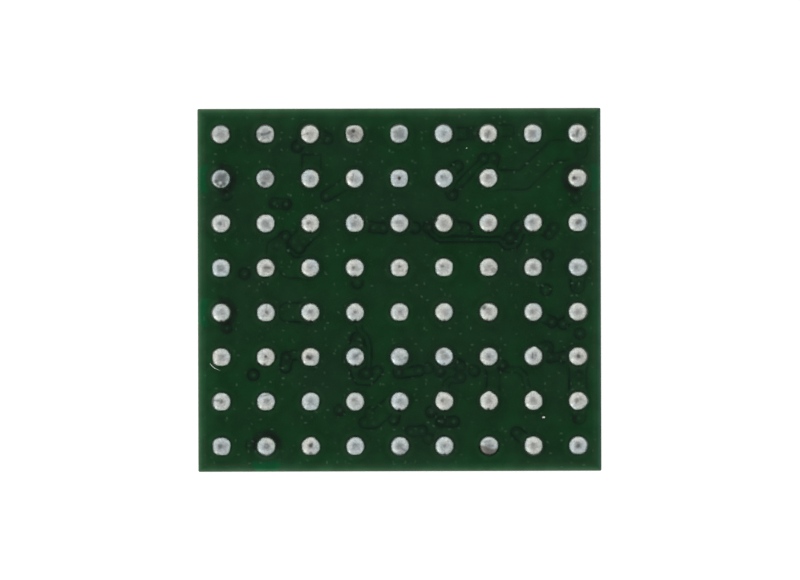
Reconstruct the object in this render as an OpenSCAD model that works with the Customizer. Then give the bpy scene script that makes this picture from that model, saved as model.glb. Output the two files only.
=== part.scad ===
// Ball grid array chip: a wire-bonded die in moulding compound on a two-layer laminate, balls up.
// The moulded face lies on z = 0. Ball columns run along +X and ball rows down -Y.

/* [Ball grid] */
// Distance between neighbouring ball centres
ball_pitch = 1.0; // [1.0:0.01:1.27]
// Ball diameter after reflow
ball_d = 0.5; // [0.45:0.01:0.6]
// Opening in the solder mask that a ball sits in
pad_opening_d = 0.4; // [0.34:0.01:0.42]
// How far a ball's copper land runs under the mask on each side
land_overlap = 0.025; // [0.02:0.005:0.04]
// Land of a ball that stands alone inside a wide clearance
halo_land_d = 0.56; // [0.54:0.01:0.6]
// Width of that clearance round the land
halo_gap = 0.1; // [0.09:0.01:0.12]

/* [Body] */
// From the outer ball columns to the sawn edge
side_margin_x = 0.525; // [0.45:0.005:1.5]
// From the outer ball rows to the sawn edge
side_margin_y = 0.575; // [0.45:0.005:1.5]
// Radius of the body's vertical edges
corner_r = 0.03; // [0.01:0.01:0.1]
// Depth of moulding compound on the die side
cap_h = 0.7; // [0.6:0.05:1.2]
// Diameter of the shallow dimple that marks ball A1 on the moulded face
index_mark_d = 0.7; // [0.4:0.05:1.0]
// Depth of that dimple
index_mark_depth = 0.04; // [0.02:0.01:0.1]
// From the sawn edges to the centre of that dimple
index_mark_inset = 0.85; // [0.7:0.05:1.5]

/* [Laminate] */
// Thickness of the glass laminate core
core_h = 0.26; // [0.1:0.01:0.6]
// Thickness of each copper layer
copper_h = 0.02; // [0.012:0.002:0.035]
// Thickness of solder mask over copper
mask_h = 0.025; // [0.015:0.005:0.04]
// How far the mask sags where there is no copper under it
mask_sag = 0.012; // [0.005:0.001:0.014]
// Etched gap between neighbouring copper
etch_gap = 0.065; // [0.05:0.005:0.08]
// Bare border between the copper and the sawn edge
copper_pullback = 0.15; // [0.1:0.01:0.2]
// Copper land round a via
via_land_d = 0.18; // [0.16:0.01:0.2]
// Drilled hole of a via
via_drill_d = 0.1; // [0.08:0.01:0.14]
// Copper plated on the wall of a via
via_plating = 0.015; // [0.01:0.005:0.02]

/* [Die and wires] */
// Die size along X
die_w = 5.0; // [4.6:0.1:5.4]
// Die size along Y
die_d = 4.4; // [4.0:0.1:4.8]
// Die thickness
die_h = 0.25; // [0.1:0.01:0.3]
// Adhesive film under the die
attach_h = 0.03; // [0.02:0.005:0.05]
// How far the adhesive runs out round the die
attach_fillet = 0.05; // [0.02:0.01:0.15]
// Distance between bond pads on the die
pad_pitch = 0.3; // [0.2:0.02:0.32]
// Bond pad side
pad_w = 0.08; // [0.06:0.01:0.1]
// Bond pad thickness
pad_h = 0.01; // [0.005:0.005:0.015]
// From the die's edge to the middle of a bond pad
pad_inset = 0.12; // [0.08:0.01:0.2]
// Distance between bond fingers on the laminate
finger_pitch = 0.38; // [0.34:0.01:0.42]
// Bond finger width
finger_w = 0.1; // [0.08:0.01:0.14]
// Bond finger length
finger_l = 0.25; // [0.2:0.01:0.35]
// From the die's edge to the near end of the bond fingers
finger_gap = 0.55; // [0.45:0.01:0.6]
// Bond wire diameter
wire_d = 0.03; // [0.025:0.005:0.035]
// Radius of a wire's bend over the die's edge
wire_bend_r = 0.07; // [0.05:0.01:0.09]
// Rise of a wire's neck above its ball bond
wire_rise = 0.04; // [0.03:0.01:0.05]
// Diameter of the ball bond under a wire
wire_ball_d = 0.06; // [0.05:0.005:0.065]
// Height of the ball bond under a wire
wire_ball_h = 0.02; // [0.015:0.005:0.03]
// How much thicker than the wire its neck is, on each side
wire_neck = 0.003; // [0.002:0.001:0.005]

/* [Hidden] */
$fn = 32;

// The routing below is drawn for this grid, in ball pitches: [column, row] from the far left ball.
columns = 9;
rows = 8;
empty_sites = [[7, 1]];

// Balls whose land stands alone in a wide clearance, and the way it opens to the board's edge
halo_sites = [[0, 1], [8, 1], [0, 4], [1, 7]];
halo_ways = [[-1, 0], [1, 0], [-1, 0], [0, -1]];

// Balls that carry a signal, each on a land of its own
signal_sites = [[2, 0], [5, 0], [6, 0], [8, 0], [2, 1], [3, 1], [5, 1], [6, 1], [3, 2], [4, 2],
    [5, 2], [7, 2], [2, 2], [2, 3], [3, 3], [8, 3], [2, 4], [3, 4], [7, 4], [8, 4], [2, 5], [3, 5], [4, 5],
    [5, 5], [6, 5], [7, 5], [8, 5], [3, 6], [4, 6], [5, 6], [6, 6], [7, 6], [8, 6], [7, 7]];

// Traces: [width, [bends]]
traces = [
    [0.18, [[2, 0], [2.4, 0.1]]],
    [0.14, [[2, 0], [1.72, 0.28]]],
    [0.18, [[3, 1], [2.36, 1.39]]],
    [0.16, [[1.2, 1.55], [1.46, 1.57]]],
    [0.12, [[0, 1], [0.13, 1.36]]],
    [0.16, [[5, 1], [5.32, 0.73]]],
    [0.14, [[5, 1], [5.19, 1.37]]],
    [0.1, [[5.3, 1.19], [5.84, 0.66], [5.9, 0.56]]],
    [0.18, [[6, 1], [6.13, 0.55]]],
    [0.37, [[6, 1.04], [6.8, 1.04], [7.49, 0.37]]],
    [0.4, [[7.5, 0.38], [8, 0.38]]],
    [0.3, [[8, 0], [8, 0.37]]],
    [0.14, [[8, 1], [7.97, 1.44]]],
    [0.16, [[3, 2], [3.42, 2.1], [3.64, 2.11]]],
    [0.16, [[4, 2], [4.36, 2.11]]],
    [0.06, [[4.66, 2.1], [4.72, 2.22], [4.9, 2.37], [6.24, 2.37], [6.4, 2.54], [6.58, 2.54],
        [6.68, 2.42], [6.74, 2.25], [7, 2]]],
    [0.24, [[5, 2], [5.2, 2.12], [5.48, 2.15]]],
    [0.2, [[7, 2], [6.65, 2.12]]],
    [0.16, [[7, 2], [7.36, 2.25], [7.47, 2.12]]],
    [0.33, [[2.03, 2.13], [1.73, 2.43]]],
    [0.4, [[2, 3], [1.56, 3], [1.26, 2.72], [1.26, 2.56]]],
    [0.18, [[1.25, 2.49], [1.44, 2.29]]],
    [0.12, [[3, 3], [3.06, 3.34]]],
    [0.24, [[8, 3], [8, 3.44]]],
    [0.36, [[2, 4], [1.49, 4]]],
    [0.12, [[0, 4], [0.12, 4.34]]],
    [0.14, [[7, 4], [7.42, 4.23]]],
    [0.14, [[8, 4], [7.68, 4.27]]],
    [0.24, [[3, 5], [3.06, 4.6]]],
    [0.06, [[3, 4], [3.12, 4.42], [3.26, 4.58], [3.31, 4.78], [3.3, 5.16], [3.25, 5.36]]],
    [0.24, [[7, 5], [7.3, 4.82]]],
    [0.12, [[7, 5], [7.39, 5.02], [7.67, 5.02], [8, 5]]],
    [0.32, [[8, 5], [8, 6]]],
    [0.22, [[8, 6], [8.03, 6.38]]],
    [0.18, [[1.44, 5.23], [1.46, 5.01]]],
    [0.14, [[1.46, 5.01], [1.67, 4.95], [2, 5]]],
    [0.14, [[3, 5], [3, 5.34]]],
    [0.07, [[2.98, 5.38], [3.08, 5.56], [3.3, 5.58], [3.44, 5.48], [3.5, 5.33]]],
    [0.18, [[4, 5], [3.98, 5.36]]],
    [0.16, [[3.98, 5.37], [4.43, 5.32]]],
    [0.16, [[5, 5], [4.91, 5.33]]],
    [0.16, [[5, 5], [5.35, 5.21]]],
    [0.07, [[5.36, 5.47], [5.27, 5.54], [5.14, 5.52], [5.04, 5.62], [5, 6]]],
    [0.14, [[6, 5], [6.31, 5.21]]],
    [0.22, [[6, 5], [6.11, 5.4], [6.08, 6]]],
    [0.06, [[6.31, 5.21], [6.42, 5.3], [6.68, 5.3], [6.8, 5.42], [6.86, 5.7], [7, 6]]],
    [0.14, [[3, 6], [2.65, 6.2]]],
    [0.3, [[3.95, 5.97], [3.42, 6.42]]],
    [0.18, [[3.32, 6.24], [3.41, 6.49], [3.21, 6.48]]],
    [0.14, [[4, 6], [3.87, 6.41]]],
    [0.14, [[5, 6], [4.71, 6.24]]],
    [0.16, [[4.94, 6.46], [5.21, 6.46]]],
    [0.16, [[4.25, 6.69], [4.5, 6.67]]],
    [0.18, [[7, 7], [6.62, 6.71]]],
    [0.12, [[1, 7], [0.68, 6.97]]]
];

// Square-cornered copper areas: [corner, opposite corner]
pours = [
    [[1.86, 0.49], [2.21, 1]],
    [[5, -0.1], [5.5, 0.1]],
    [[5.6, -0.1], [6, 0.1]],
    [[6, -0.155], [6.55, 0.03]]
];

// Plated holes through the laminate
vias = [[2.4, 0.1], [1.72, 0.28], [2.36, 1.39], [1.2, 1.55], [1.46, 1.57], [0.13, 1.36],
    [5.32, 0.73], [5.19, 1.37], [5.9, 0.56], [6.13, 0.55], [5.7, -0.02], [8.05, 0.43], [7.97, 1.44],
    [3.42, 2.1], [3.64, 2.11], [4.36, 2.11], [4.66, 2.1], [5.48, 2.15], [6.65, 2.12], [6.49, 2.34],
    [7.36, 2.25], [7.47, 2.12], [1.63, 2.42], [1.76, 2.56], [1.25, 2.49], [1.44, 2.29], [7.33, 2.74],
    [0.53, 3.13], [3.06, 3.34], [7.29, 3.51], [8.03, 3.42], [0.12, 4.34], [7.42, 4.23], [7.68, 4.27],
    [8.05, 4.49], [3.06, 4.6], [7.3, 4.82], [7.39, 5.02], [7.67, 5.02], [8.02, 5.43], [8.02, 6.39],
    [1.46, 5.01], [1.44, 5.23], [0.72, 5.4], [3.25, 5.36], [3.5, 5.33], [3.98, 5.36], [4.43, 5.32],
    [4.65, 5.26], [4.91, 5.33], [5.35, 5.21], [5.36, 5.47], [5.68, 5.32], [6.31, 5.21], [2.65, 6.2],
    [3.32, 6.24], [3.21, 6.48], [3.41, 6.49], [3.87, 6.41], [4.71, 6.24], [4.94, 6.46], [5.21, 6.46],
    [4.25, 6.69], [4.5, 6.67], [4.65, 6.85], [6.62, 6.71], [0.68, 6.97]];

// Derived sizes
body_w = (columns - 1) * ball_pitch + 2 * side_margin_x;
body_d = (rows - 1) * ball_pitch + 2 * side_margin_y;
land_d = pad_opening_d + 2 * land_overlap;
z_die_copper = cap_h + mask_h;
z_core = z_die_copper + copper_h;
z_ball_copper = z_core + core_h;
z_ball_mask = z_ball_copper + copper_h;
z_ball_seat = z_ball_mask + mask_h;
ball_centre_h = sqrt(pow(ball_d / 2, 2) - pow(pad_opening_d / 2, 2));
pads_x = floor((die_w - 4 * pad_inset) / pad_pitch / 2) * 2;
pads_y = floor((die_d - 4 * pad_inset) / pad_pitch / 2) * 2;
z_die = attach_h;
z_pad = attach_h + die_h;
z_bond = z_pad + pad_h;
overrun = 0.01;

// Board position of a place in the ball grid
function at(site) = [
    (site[0] - (columns - 1) / 2) * ball_pitch,
    ((rows - 1) / 2 - site[1]) * ball_pitch
];

// True where a list of sites holds a site
function holds(sites, site) = len([for (s = sites) if (s == site) s]) > 0;

function sites_in_row(row) = [for (c = [0:columns - 1]) if (!holds(empty_sites, [c, row])) [c, row]];
all_sites = [for (r = [0:rows - 1]) each sites_in_row(r)];
ground_sites = [for (s = all_sites)
    if (!holds(signal_sites, s) && !holds(halo_sites, s)) s];

// Places along one side of the die, centred, as distances from its middle
function along(count, step) = [for (i = [0:count - 1]) (i - (count - 1) / 2) * step];

module outline(inset = 0) {
    w = body_w / 2 - inset - corner_r;
    d = body_d / 2 - inset - corner_r;
    square([2 * w, 2 * (d + corner_r)], center = true);
    square([2 * (w + corner_r), 2 * d], center = true);
    for (x = [-w, w])
        for (y = [-d, d])
            translate([x, y]) circle(r = corner_r);
}

// One straight stretch of copper with round ends
module stretch(from, to, width) {
    run = to - from;
    translate(from) circle(d = width);
    translate(to) circle(d = width);
    translate(from)
        rotate(atan2(run[1], run[0]))
            translate([0, -width / 2]) square([norm(run), width]);
}

// Every separate net of the ball side, widened by grow on each side
module net_shape(grow = 0) {
    for (t = traces)
        for (i = [1:len(t[1]) - 1])
            stretch(at(t[1][i - 1]), at(t[1][i]), t[0] * ball_pitch + 2 * grow);
    for (p = pours) {
        size = [p[1][0] - p[0][0], p[1][1] - p[0][1]] * ball_pitch;
        translate(at((p[0] + p[1]) / 2)) square(size + [2 * grow, 2 * grow], center = true);
    }
    for (v = vias)
        translate(at(v)) circle(d = via_land_d + 2 * grow);
    for (s = signal_sites)
        translate(at(s)) circle(d = land_d + 2 * grow);
    for (s = halo_sites)
        translate(at(s)) circle(d = halo_land_d + 2 * grow);
}

// The wide clearances of the lands that stand alone, each open to the nearest edge
module halo_clearances() {
    d = halo_land_d + 2 * halo_gap;
    reach = max(side_margin_x, side_margin_y);
    for (i = [0:len(halo_sites) - 1])
        translate(at(halo_sites[i])) {
            circle(d = d);
            translate(halo_ways[i] * reach / 2)
                square([for (k = [0, 1]) halo_ways[i][k] == 0 ? d : reach], center = true);
        }
}

module ground_lands(grow = 0) {
    for (s = ground_sites)
        translate(at(s)) circle(d = land_d + 2 * grow);
}

// Copper of the ball side: the ground plane, and the nets etched out of it
module ball_side_foil() {
    difference() {
        outline(copper_pullback);
        net_shape(etch_gap);
        halo_clearances();
    }
    ground_lands();
    difference() {
        net_shape();
        ground_lands(etch_gap);
    }
}

// Moves what is drawn die side up, from the mask's face, to its place under the laminate
module on_die_side() {
    translate([0, 0, cap_h]) mirror([0, 0, 1]) children();
}

// One side of the die as [count, half size, turn]
north = [pads_x, die_d / 2, 90];
south = [pads_x, die_d / 2, -90];
east = [pads_y, die_w / 2, 0];
west = [pads_y, die_w / 2, 180];

module fingers(side) {
    rotate(side[2])
        for (y = along(side[0], finger_pitch))
            translate([side[1] + finger_gap, y - finger_w / 2]) square([finger_l, finger_w]);
}

// The slot in the mask that leaves one side's fingers bare
module finger_window(side) {
    span = (side[0] - 1) * finger_pitch + 3 * finger_w;
    rotate(side[2])
        translate([side[1] + finger_gap - finger_w / 2, -span / 2])
            square([finger_l + finger_w, span]);
}

module finger_windows() {
    finger_window(north);
    finger_window(south);
    finger_window(east);
    finger_window(west);
}

// Copper of the die side: the die's ground pad, the via lands and the bond fingers
module die_side_foil() {
    difference() {
        square([die_w, die_d], center = true);
        for (v = vias)
            translate(at(v)) circle(d = via_land_d + 2 * etch_gap);
    }
    for (v = vias)
        translate(at(v)) circle(d = via_land_d);
    fingers(north);
    fingers(south);
    fingers(east);
    fingers(west);
}

// A wire from its bond over the die's edge down to its finger, drawn towards +X and up
module wire(reach, pad_y, finger_y) {
    run = norm([reach, finger_y - pad_y]);
    bend_z = z_bond + wire_ball_h + wire_rise;
    drop = bend_z + mask_h;
    far = norm([run - wire_bend_r, drop]);
    lift = acos(wire_bend_r / far) - atan2(drop, run - wire_bend_r);
    tail = sqrt(far * far - wire_bend_r * wire_bend_r) + wire_d;
    translate([0, pad_y, 0]) rotate(atan2(finger_y - pad_y, reach)) {
        translate([0, 0, z_bond]) cylinder(d = wire_ball_d, h = wire_ball_h);
        translate([0, 0, z_bond + wire_ball_h])
            cylinder(d = wire_d + 2 * wire_neck, h = wire_rise + wire_neck);
        translate([wire_bend_r, 0, bend_z]) rotate([90, 0, 0]) {
            rotate([0, 0, lift]) rotate_extrude(angle = 180 - lift)
                translate([wire_bend_r, 0]) circle(d = wire_d);
            rotate([0, 0, lift]) translate([wire_bend_r, 0, 0])
                rotate([90, 0, 0]) cylinder(d = wire_d, h = tail);
        }
    }
}

module wires(side) {
    pads = along(side[0], pad_pitch);
    ends = along(side[0], finger_pitch);
    reach = pad_inset + finger_gap + finger_l / 2;
    difference() {
        rotate(side[2])
            for (i = [0:side[0] - 1])
                translate([side[1] - pad_inset, 0, 0]) wire(reach, pads[i], ends[i]);
        translate([-body_w / 2, -body_d / 2, -1 - mask_h]) cube([body_w, body_d, 1]);
    }
}

module die_block() {
    translate([-die_w / 2, -die_d / 2, z_die]) cube([die_w, die_d, die_h]);
}

module attach_film() {
    w = die_w + 2 * attach_fillet;
    d = die_d + 2 * attach_fillet;
    translate([-w / 2, -d / 2, 0]) cube([w, d, attach_h]);
}

module pads(side) {
    rotate(side[2])
        for (y = along(side[0], pad_pitch))
            translate([side[1] - pad_inset - pad_w / 2, y - pad_w / 2, z_pad])
                cube([pad_w, pad_w, pad_h]);
}

module all_pads() {
    pads(north);
    pads(south);
    pads(east);
    pads(west);
}

module mould_cap() {
    color("#1c1d20") difference() {
        union() {
            linear_extrude(cap_h) outline();
            translate([0, 0, cap_h]) linear_extrude(mask_h + copper_h) finger_windows();
        }
        translate([0, 0, z_die_copper]) linear_extrude(copper_h + overrun) die_side_foil();
        on_die_side() {
            attach_film();
            die_block();
            all_pads();
            wires(north);
            wires(south);
            wires(east);
            wires(west);
        }
        translate([body_w / 2 - index_mark_inset, body_d / 2 - index_mark_inset, -overrun])
            cylinder(d = index_mark_d, h = index_mark_depth + overrun);
    }
}

module silicon_die() {
    color("#6d7078") on_die_side() die_block();
}

module die_attach() {
    color("#c9c2a8") on_die_side() attach_film();
}

module bond_pads() {
    color("#c8ccd0") on_die_side() all_pads();
}

module bond_wires_north() {
    color("#d8b040") on_die_side() wires(north);
}

module bond_wires_south() {
    color("#d8b040") on_die_side() wires(south);
}

module bond_wires_east() {
    color("#d8b040") on_die_side() wires(east);
}

module bond_wires_west() {
    color("#d8b040") on_die_side() wires(west);
}

module die_side_mask() {
    color("#14321c") difference() {
        translate([0, 0, cap_h]) linear_extrude(mask_h + copper_h) difference() {
            outline();
            finger_windows();
        }
        translate([0, 0, z_die_copper]) linear_extrude(copper_h + overrun) die_side_foil();
    }
}

module die_side_copper() {
    color("#b87333") translate([0, 0, z_die_copper]) linear_extrude(copper_h) die_side_foil();
}

module laminate_core() {
    color("#8d9a4e") translate([0, 0, z_core]) linear_extrude(core_h) difference() {
        outline();
        for (v = vias)
            translate(at(v)) circle(d = via_drill_d);
    }
}

module via_barrels() {
    color("#b87333") for (v = vias)
        translate([at(v)[0], at(v)[1], z_core]) difference() {
            cylinder(d = via_drill_d, h = core_h);
            translate([0, 0, -overrun])
                cylinder(d = via_drill_d - 2 * via_plating, h = core_h + 2 * overrun);
        }
}

module via_fill() {
    color("#d9d6c4") for (v = vias)
        translate([at(v)[0], at(v)[1], z_core])
            cylinder(d = via_drill_d - 2 * via_plating, h = core_h);
}

module ball_side_copper() {
    color("#b87333") translate([0, 0, z_ball_copper]) linear_extrude(copper_h) ball_side_foil();
}

// Solder mask: it fills the etched gaps, and its face sags over them and along the border
module ball_side_mask() {
    color("#14321c") difference() {
        translate([0, 0, z_ball_copper]) linear_extrude(copper_h + mask_h) outline();
        translate([0, 0, z_ball_copper - overrun])
            linear_extrude(copper_h + overrun) ball_side_foil();
        translate([0, 0, z_ball_seat - mask_sag]) linear_extrude(mask_sag + overrun)
            difference() {
                outline(-overrun);
                ball_side_foil();
            }
        for (s = all_sites)
            translate([at(s)[0], at(s)[1], z_ball_copper])
                cylinder(d = pad_opening_d, h = copper_h + mask_h + overrun);
    }
}

// A ball: it fills its mask opening and swells to its full diameter above the mask
module ball(site) {
    translate([at(site)[0], at(site)[1], z_ball_mask]) {
        cylinder(d = pad_opening_d, h = mask_h);
        translate([0, 0, mask_h]) difference() {
            translate([0, 0, ball_centre_h]) sphere(d = ball_d);
            translate([0, 0, -ball_d]) cylinder(d = 2 * ball_d, h = ball_d);
        }
    }
}

module ball_row(row) {
    color("#c4c6c8") for (s = sites_in_row(row)) ball(s);
}

module solder_balls_row_a() ball_row(0);
module solder_balls_row_b() ball_row(1);
module solder_balls_row_c() ball_row(2);
module solder_balls_row_d() ball_row(3);
module solder_balls_row_e() ball_row(4);
module solder_balls_row_f() ball_row(5);
module solder_balls_row_g() ball_row(6);
module solder_balls_row_h() ball_row(7);

mould_cap();
silicon_die();
die_attach();
bond_pads();
bond_wires_north();
bond_wires_south();
bond_wires_east();
bond_wires_west();
die_side_mask();
die_side_copper();
laminate_core();
via_barrels();
via_fill();
ball_side_copper();
ball_side_mask();
solder_balls_row_a();
solder_balls_row_b();
solder_balls_row_c();
solder_balls_row_d();
solder_balls_row_e();
solder_balls_row_f();
solder_balls_row_g();
solder_balls_row_h();
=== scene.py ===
"""Dresses a ball grid array package: solder mask, solder balls, laminate, moulded cap and what they hold.

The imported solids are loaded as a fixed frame. The mask of the ball side and the rows of balls are
rebuilt as finer surfaces that stand for their solids, and every other solid gets its finish.
"""
import logging
import math
from dataclasses import dataclass, field, fields
from enum import Enum
from typing import Optional, Sequence, Union

import bpy
import numpy as np
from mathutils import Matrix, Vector


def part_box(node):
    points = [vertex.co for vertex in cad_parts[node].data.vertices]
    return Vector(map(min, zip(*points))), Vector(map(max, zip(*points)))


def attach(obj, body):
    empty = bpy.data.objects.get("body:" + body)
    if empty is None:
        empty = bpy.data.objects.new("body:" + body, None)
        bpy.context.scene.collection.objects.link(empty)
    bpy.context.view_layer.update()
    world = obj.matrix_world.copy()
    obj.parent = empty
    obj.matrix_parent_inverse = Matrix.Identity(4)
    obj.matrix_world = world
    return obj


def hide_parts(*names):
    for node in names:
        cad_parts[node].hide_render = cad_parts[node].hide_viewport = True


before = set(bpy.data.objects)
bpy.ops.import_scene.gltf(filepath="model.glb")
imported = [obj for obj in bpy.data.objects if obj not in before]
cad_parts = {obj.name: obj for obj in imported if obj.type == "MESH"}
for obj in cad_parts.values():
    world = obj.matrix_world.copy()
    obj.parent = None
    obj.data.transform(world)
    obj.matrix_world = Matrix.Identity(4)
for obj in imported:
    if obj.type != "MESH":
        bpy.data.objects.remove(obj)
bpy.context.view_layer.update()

LOG = logging.getLogger("ball_grid_chip")
MM = 0.001
BODY = "root"
SEED = 20
SEEDS_A_ROW = 31
LEVEL_WITHIN = 1e-4

Colour = tuple[float, float, float]
Span = tuple[float, float]
Faces = list[list[int]]
Socket = bpy.types.NodeSocket
Value = Union[float, int, Sequence[float], Socket]
Inputs = dict[Union[str, int], Value]


class Slot(Enum):
    """The record's material slots."""

    MOULD = "mould_compound"
    SILICON = "silicon"
    ADHESIVE = "die_adhesive"
    PAD = "pad_metal"
    WIRE = "bond_wire"
    MASK = "solder_mask"
    COPPER = "copper_foil"
    LAMINATE = "glass_laminate"
    RESIN = "via_resin"
    SOLDER = "solder"


class Wiring:
    """Adds shader nodes to a tree and feeds their sockets."""

    def __init__(self, owner: Union[bpy.types.Material, bpy.types.World]) -> None:
        """Starts with an empty tree.

        Args:
            owner: the material or sky that the tree belongs to.
        """
        owner.use_nodes = True
        self.tree = owner.node_tree
        self.tree.nodes.clear()

    def feed(self, socket: Socket, value: Value) -> None:
        """Links a socket to another, or sets its own value.

        Args:
            socket: the input to feed.
            value: an output socket, a number or a list of numbers.
        """
        if isinstance(value, bpy.types.NodeSocket):
            self.tree.links.new(value, socket)
        elif isinstance(value, (float, int)):
            socket.default_value = value
        else:
            wanted = len(socket.default_value)
            socket.default_value = (tuple(value) + (1.0,) * wanted)[:wanted]

    def node(self, kind: str, inputs: Optional[Inputs] = None, **settings: object) -> bpy.types.Node:
        """Adds a node.

        Args:
            kind: its Blender type without the leading "ShaderNode".
            inputs: values or links of its inputs, by name or number.
            **settings: its other properties.

        Returns:
            The new node.
        """
        made = self.tree.nodes.new("ShaderNode" + kind)
        for name, setting in settings.items():
            setattr(made, name, setting)
        for key, value in (inputs or {}).items():
            self.feed(made.inputs[key], value)
        return made

    def calc(self, operation: str, *values: Value) -> Socket:
        """One step of arithmetic on numbers or sockets."""
        return self.node("Math", dict(enumerate(values)), operation=operation).outputs[0]

    def times(self, first: Value, *others: Value) -> Socket:
        """Multiplies values one after another.

        Args:
            first: a number or socket.
            *others: what it is multiplied by.

        Returns:
            The product.
        """
        for other in others:
            first = self.calc("MULTIPLY", first, other)
        return first

    def remap(self, value: Value, low: float, high: float, to_low: float = 0.0, to_high: float = 1.0,
              smooth: bool = True) -> Socket:
        """Carries one span of values over to another, held at its ends.

        Args:
            value: what is carried over.
            low, high: the ends of its span.
            to_low, to_high: the ends of the new span.
            smooth: whether the way between is an even S, and not a straight line.

        Returns:
            The carried value.
        """
        inputs = {"Value": value, "From Min": low, "From Max": high, "To Min": to_low, "To Max": to_high}
        style = "SMOOTHSTEP" if smooth else "LINEAR"
        return self.node("MapRange", inputs, interpolation_type=style).outputs["Result"]


class Graph(Wiring):
    """Builds the nodes of one material round a single Principled shader."""

    def __init__(self, name: str) -> None:
        """Starts an empty material.

        Args:
            name: the material's name.
        """
        self.material = bpy.data.materials.new(name)
        super().__init__(self.material)
        self.shader = self.node("BsdfPrincipled")
        self.output = self.node("OutputMaterial", {"Surface": self.shader.outputs["BSDF"]})
        self._place: Optional[Socket] = None

    def place(self, stretch: Sequence[float] = (1.0, 1.0, 1.0), turn: float = 0.0) -> Socket:
        """Object coordinates in millimetres, stretched and turned about the vertical.

        Args:
            stretch: factor of each axis.
            turn: angle in degrees.

        Returns:
            The vector socket.
        """
        if self._place is None:
            self._place = self.node("TexCoord").outputs["Object"]
        mapping = self.node("Mapping", {"Vector": self._place})
        mapping.inputs["Scale"].default_value = [s / MM for s in stretch]
        mapping.inputs["Rotation"].default_value = (0.0, 0.0, math.radians(turn))
        return mapping.outputs["Vector"]

    def attribute(self, name: str) -> Socket:
        """A number that the mesh carries at its vertices."""
        return self.node("Attribute", attribute_name=name).outputs["Fac"]

    def noise(self, scale: float, detail: float = 3.0, roughness: float = 0.5,
              at: Optional[Socket] = None) -> Socket:
        """Fractal noise, 0 to 1, of so many lumps a millimetre."""
        inputs = {"Vector": at or self.place(), "Scale": scale, "Detail": detail, "Roughness": roughness}
        return self.node("TexNoise", inputs).outputs["Fac"]

    def vary(self, noise: Socket, low: float = 0.0, high: float = 1.0) -> Socket:
        """Runs from low to high over the span that noise seldom leaves."""
        return self.remap(noise, 0.3, 0.7, low, high)

    def cells(self, scale: float, scatter: float, at: Optional[Socket] = None,
              flat: bool = False) -> bpy.types.Node:
        """Cells round scattered points: the distance to the nearest point, and a colour of its own."""
        inputs = {"Vector": at or self.place(), "Scale": scale, "Randomness": scatter}
        return self.node("TexVoronoi", inputs, voronoi_dimensions="2D" if flat else "3D")

    def lot(self, cells: bpy.types.Node) -> Socket:
        """A chance number, 0 to 1, for each cell."""
        return self.node("SeparateColor", {"Color": cells.outputs["Color"]}).outputs["Red"]

    def mix(self, share: Value, first: Value, second: Value, blend: str = "MIX") -> Socket:
        """Blends two colours.

        Args:
            share: how much of the second, 0 to 1.
            first: the colour below.
            second: the colour above.
            blend: the way of blending.

        Returns:
            The new colour.
        """
        made = self.node("Mix", data_type="RGBA", blend_type=blend, clamp_factor=True)
        self.feed(made.inputs["Factor"], share)
        self.feed(made.inputs[6], first)
        self.feed(made.inputs[7], second)
        return made.outputs[2]

    def tinted(self, colour: Value, tint: Value) -> Socket:
        """A colour multiplied by another."""
        return self.mix(1.0, colour, tint, "MULTIPLY")

    def dimmed(self, colour: Value, factor: Socket) -> Socket:
        """A colour multiplied by a number."""
        return self.tinted(colour, self.node("CombineColor", {k: factor for k in range(3)}).outputs[0])

    def ramp(self, value: Value, stops: Sequence[tuple[float, Colour]]) -> Socket:
        """A colour that follows a number.

        Args:
            value: the number, 0 to 1.
            stops: pairs of (place, colour).

        Returns:
            The colour.
        """
        made = self.node("ValToRGB", {"Fac": value})
        line = made.color_ramp
        while len(line.elements) < len(stops):
            line.elements.new(0.5)
        for element, (place, colour) in zip(line.elements, stops):
            element.position = place
            element.color = (*colour, 1.0)
        return made.outputs["Color"]

    def bump(self, height: Socket, rise: float, below: Optional[Socket] = None) -> Socket:
        """Small relief.

        Args:
            height: its shape, 0 to 1.
            rise: what 1 stands for, in millimetres.
            below: relief that it is laid over.

        Returns:
            The normal.
        """
        inputs: Inputs = {"Height": height, "Distance": rise * MM}
        if below is not None:
            inputs["Normal"] = below
        return self.node("Bump", inputs).outputs["Normal"]

    def finish(self, **values: Value) -> bpy.types.Material:
        """Feeds the shader.

        Args:
            **values: its inputs, named with underscores for spaces.

        Returns:
            The finished material.
        """
        for name, value in values.items():
            self.feed(self.shader.inputs[name.replace("_", " ")], value)
        return self.material


@dataclass(frozen=True)
class FilmPlaces:
    """The numbers that the mask film carries at its vertices, as sockets of a material.

    etched, plug and rim are the distances in millimetres from the copper's outline, from that of the
    plugged holes and from the board's edge; foot is that from the nearest ball's middle. well, quiet,
    thick and far tell zones of the film; the well zone carries the painted shadow round lone lands, and
    far the side where the painted rim highlight is cooler.
    """

    etched: Socket
    plug: Socket
    rim: Socket
    foot: Socket
    well_shadow: Socket
    quiet: Socket
    thick: Socket
    far: Socket

    @classmethod
    def read(cls, g: Graph) -> "FilmPlaces":
        """Reads them all into a material."""
        return cls(*(g.attribute(place.name) for place in fields(cls)))


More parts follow.
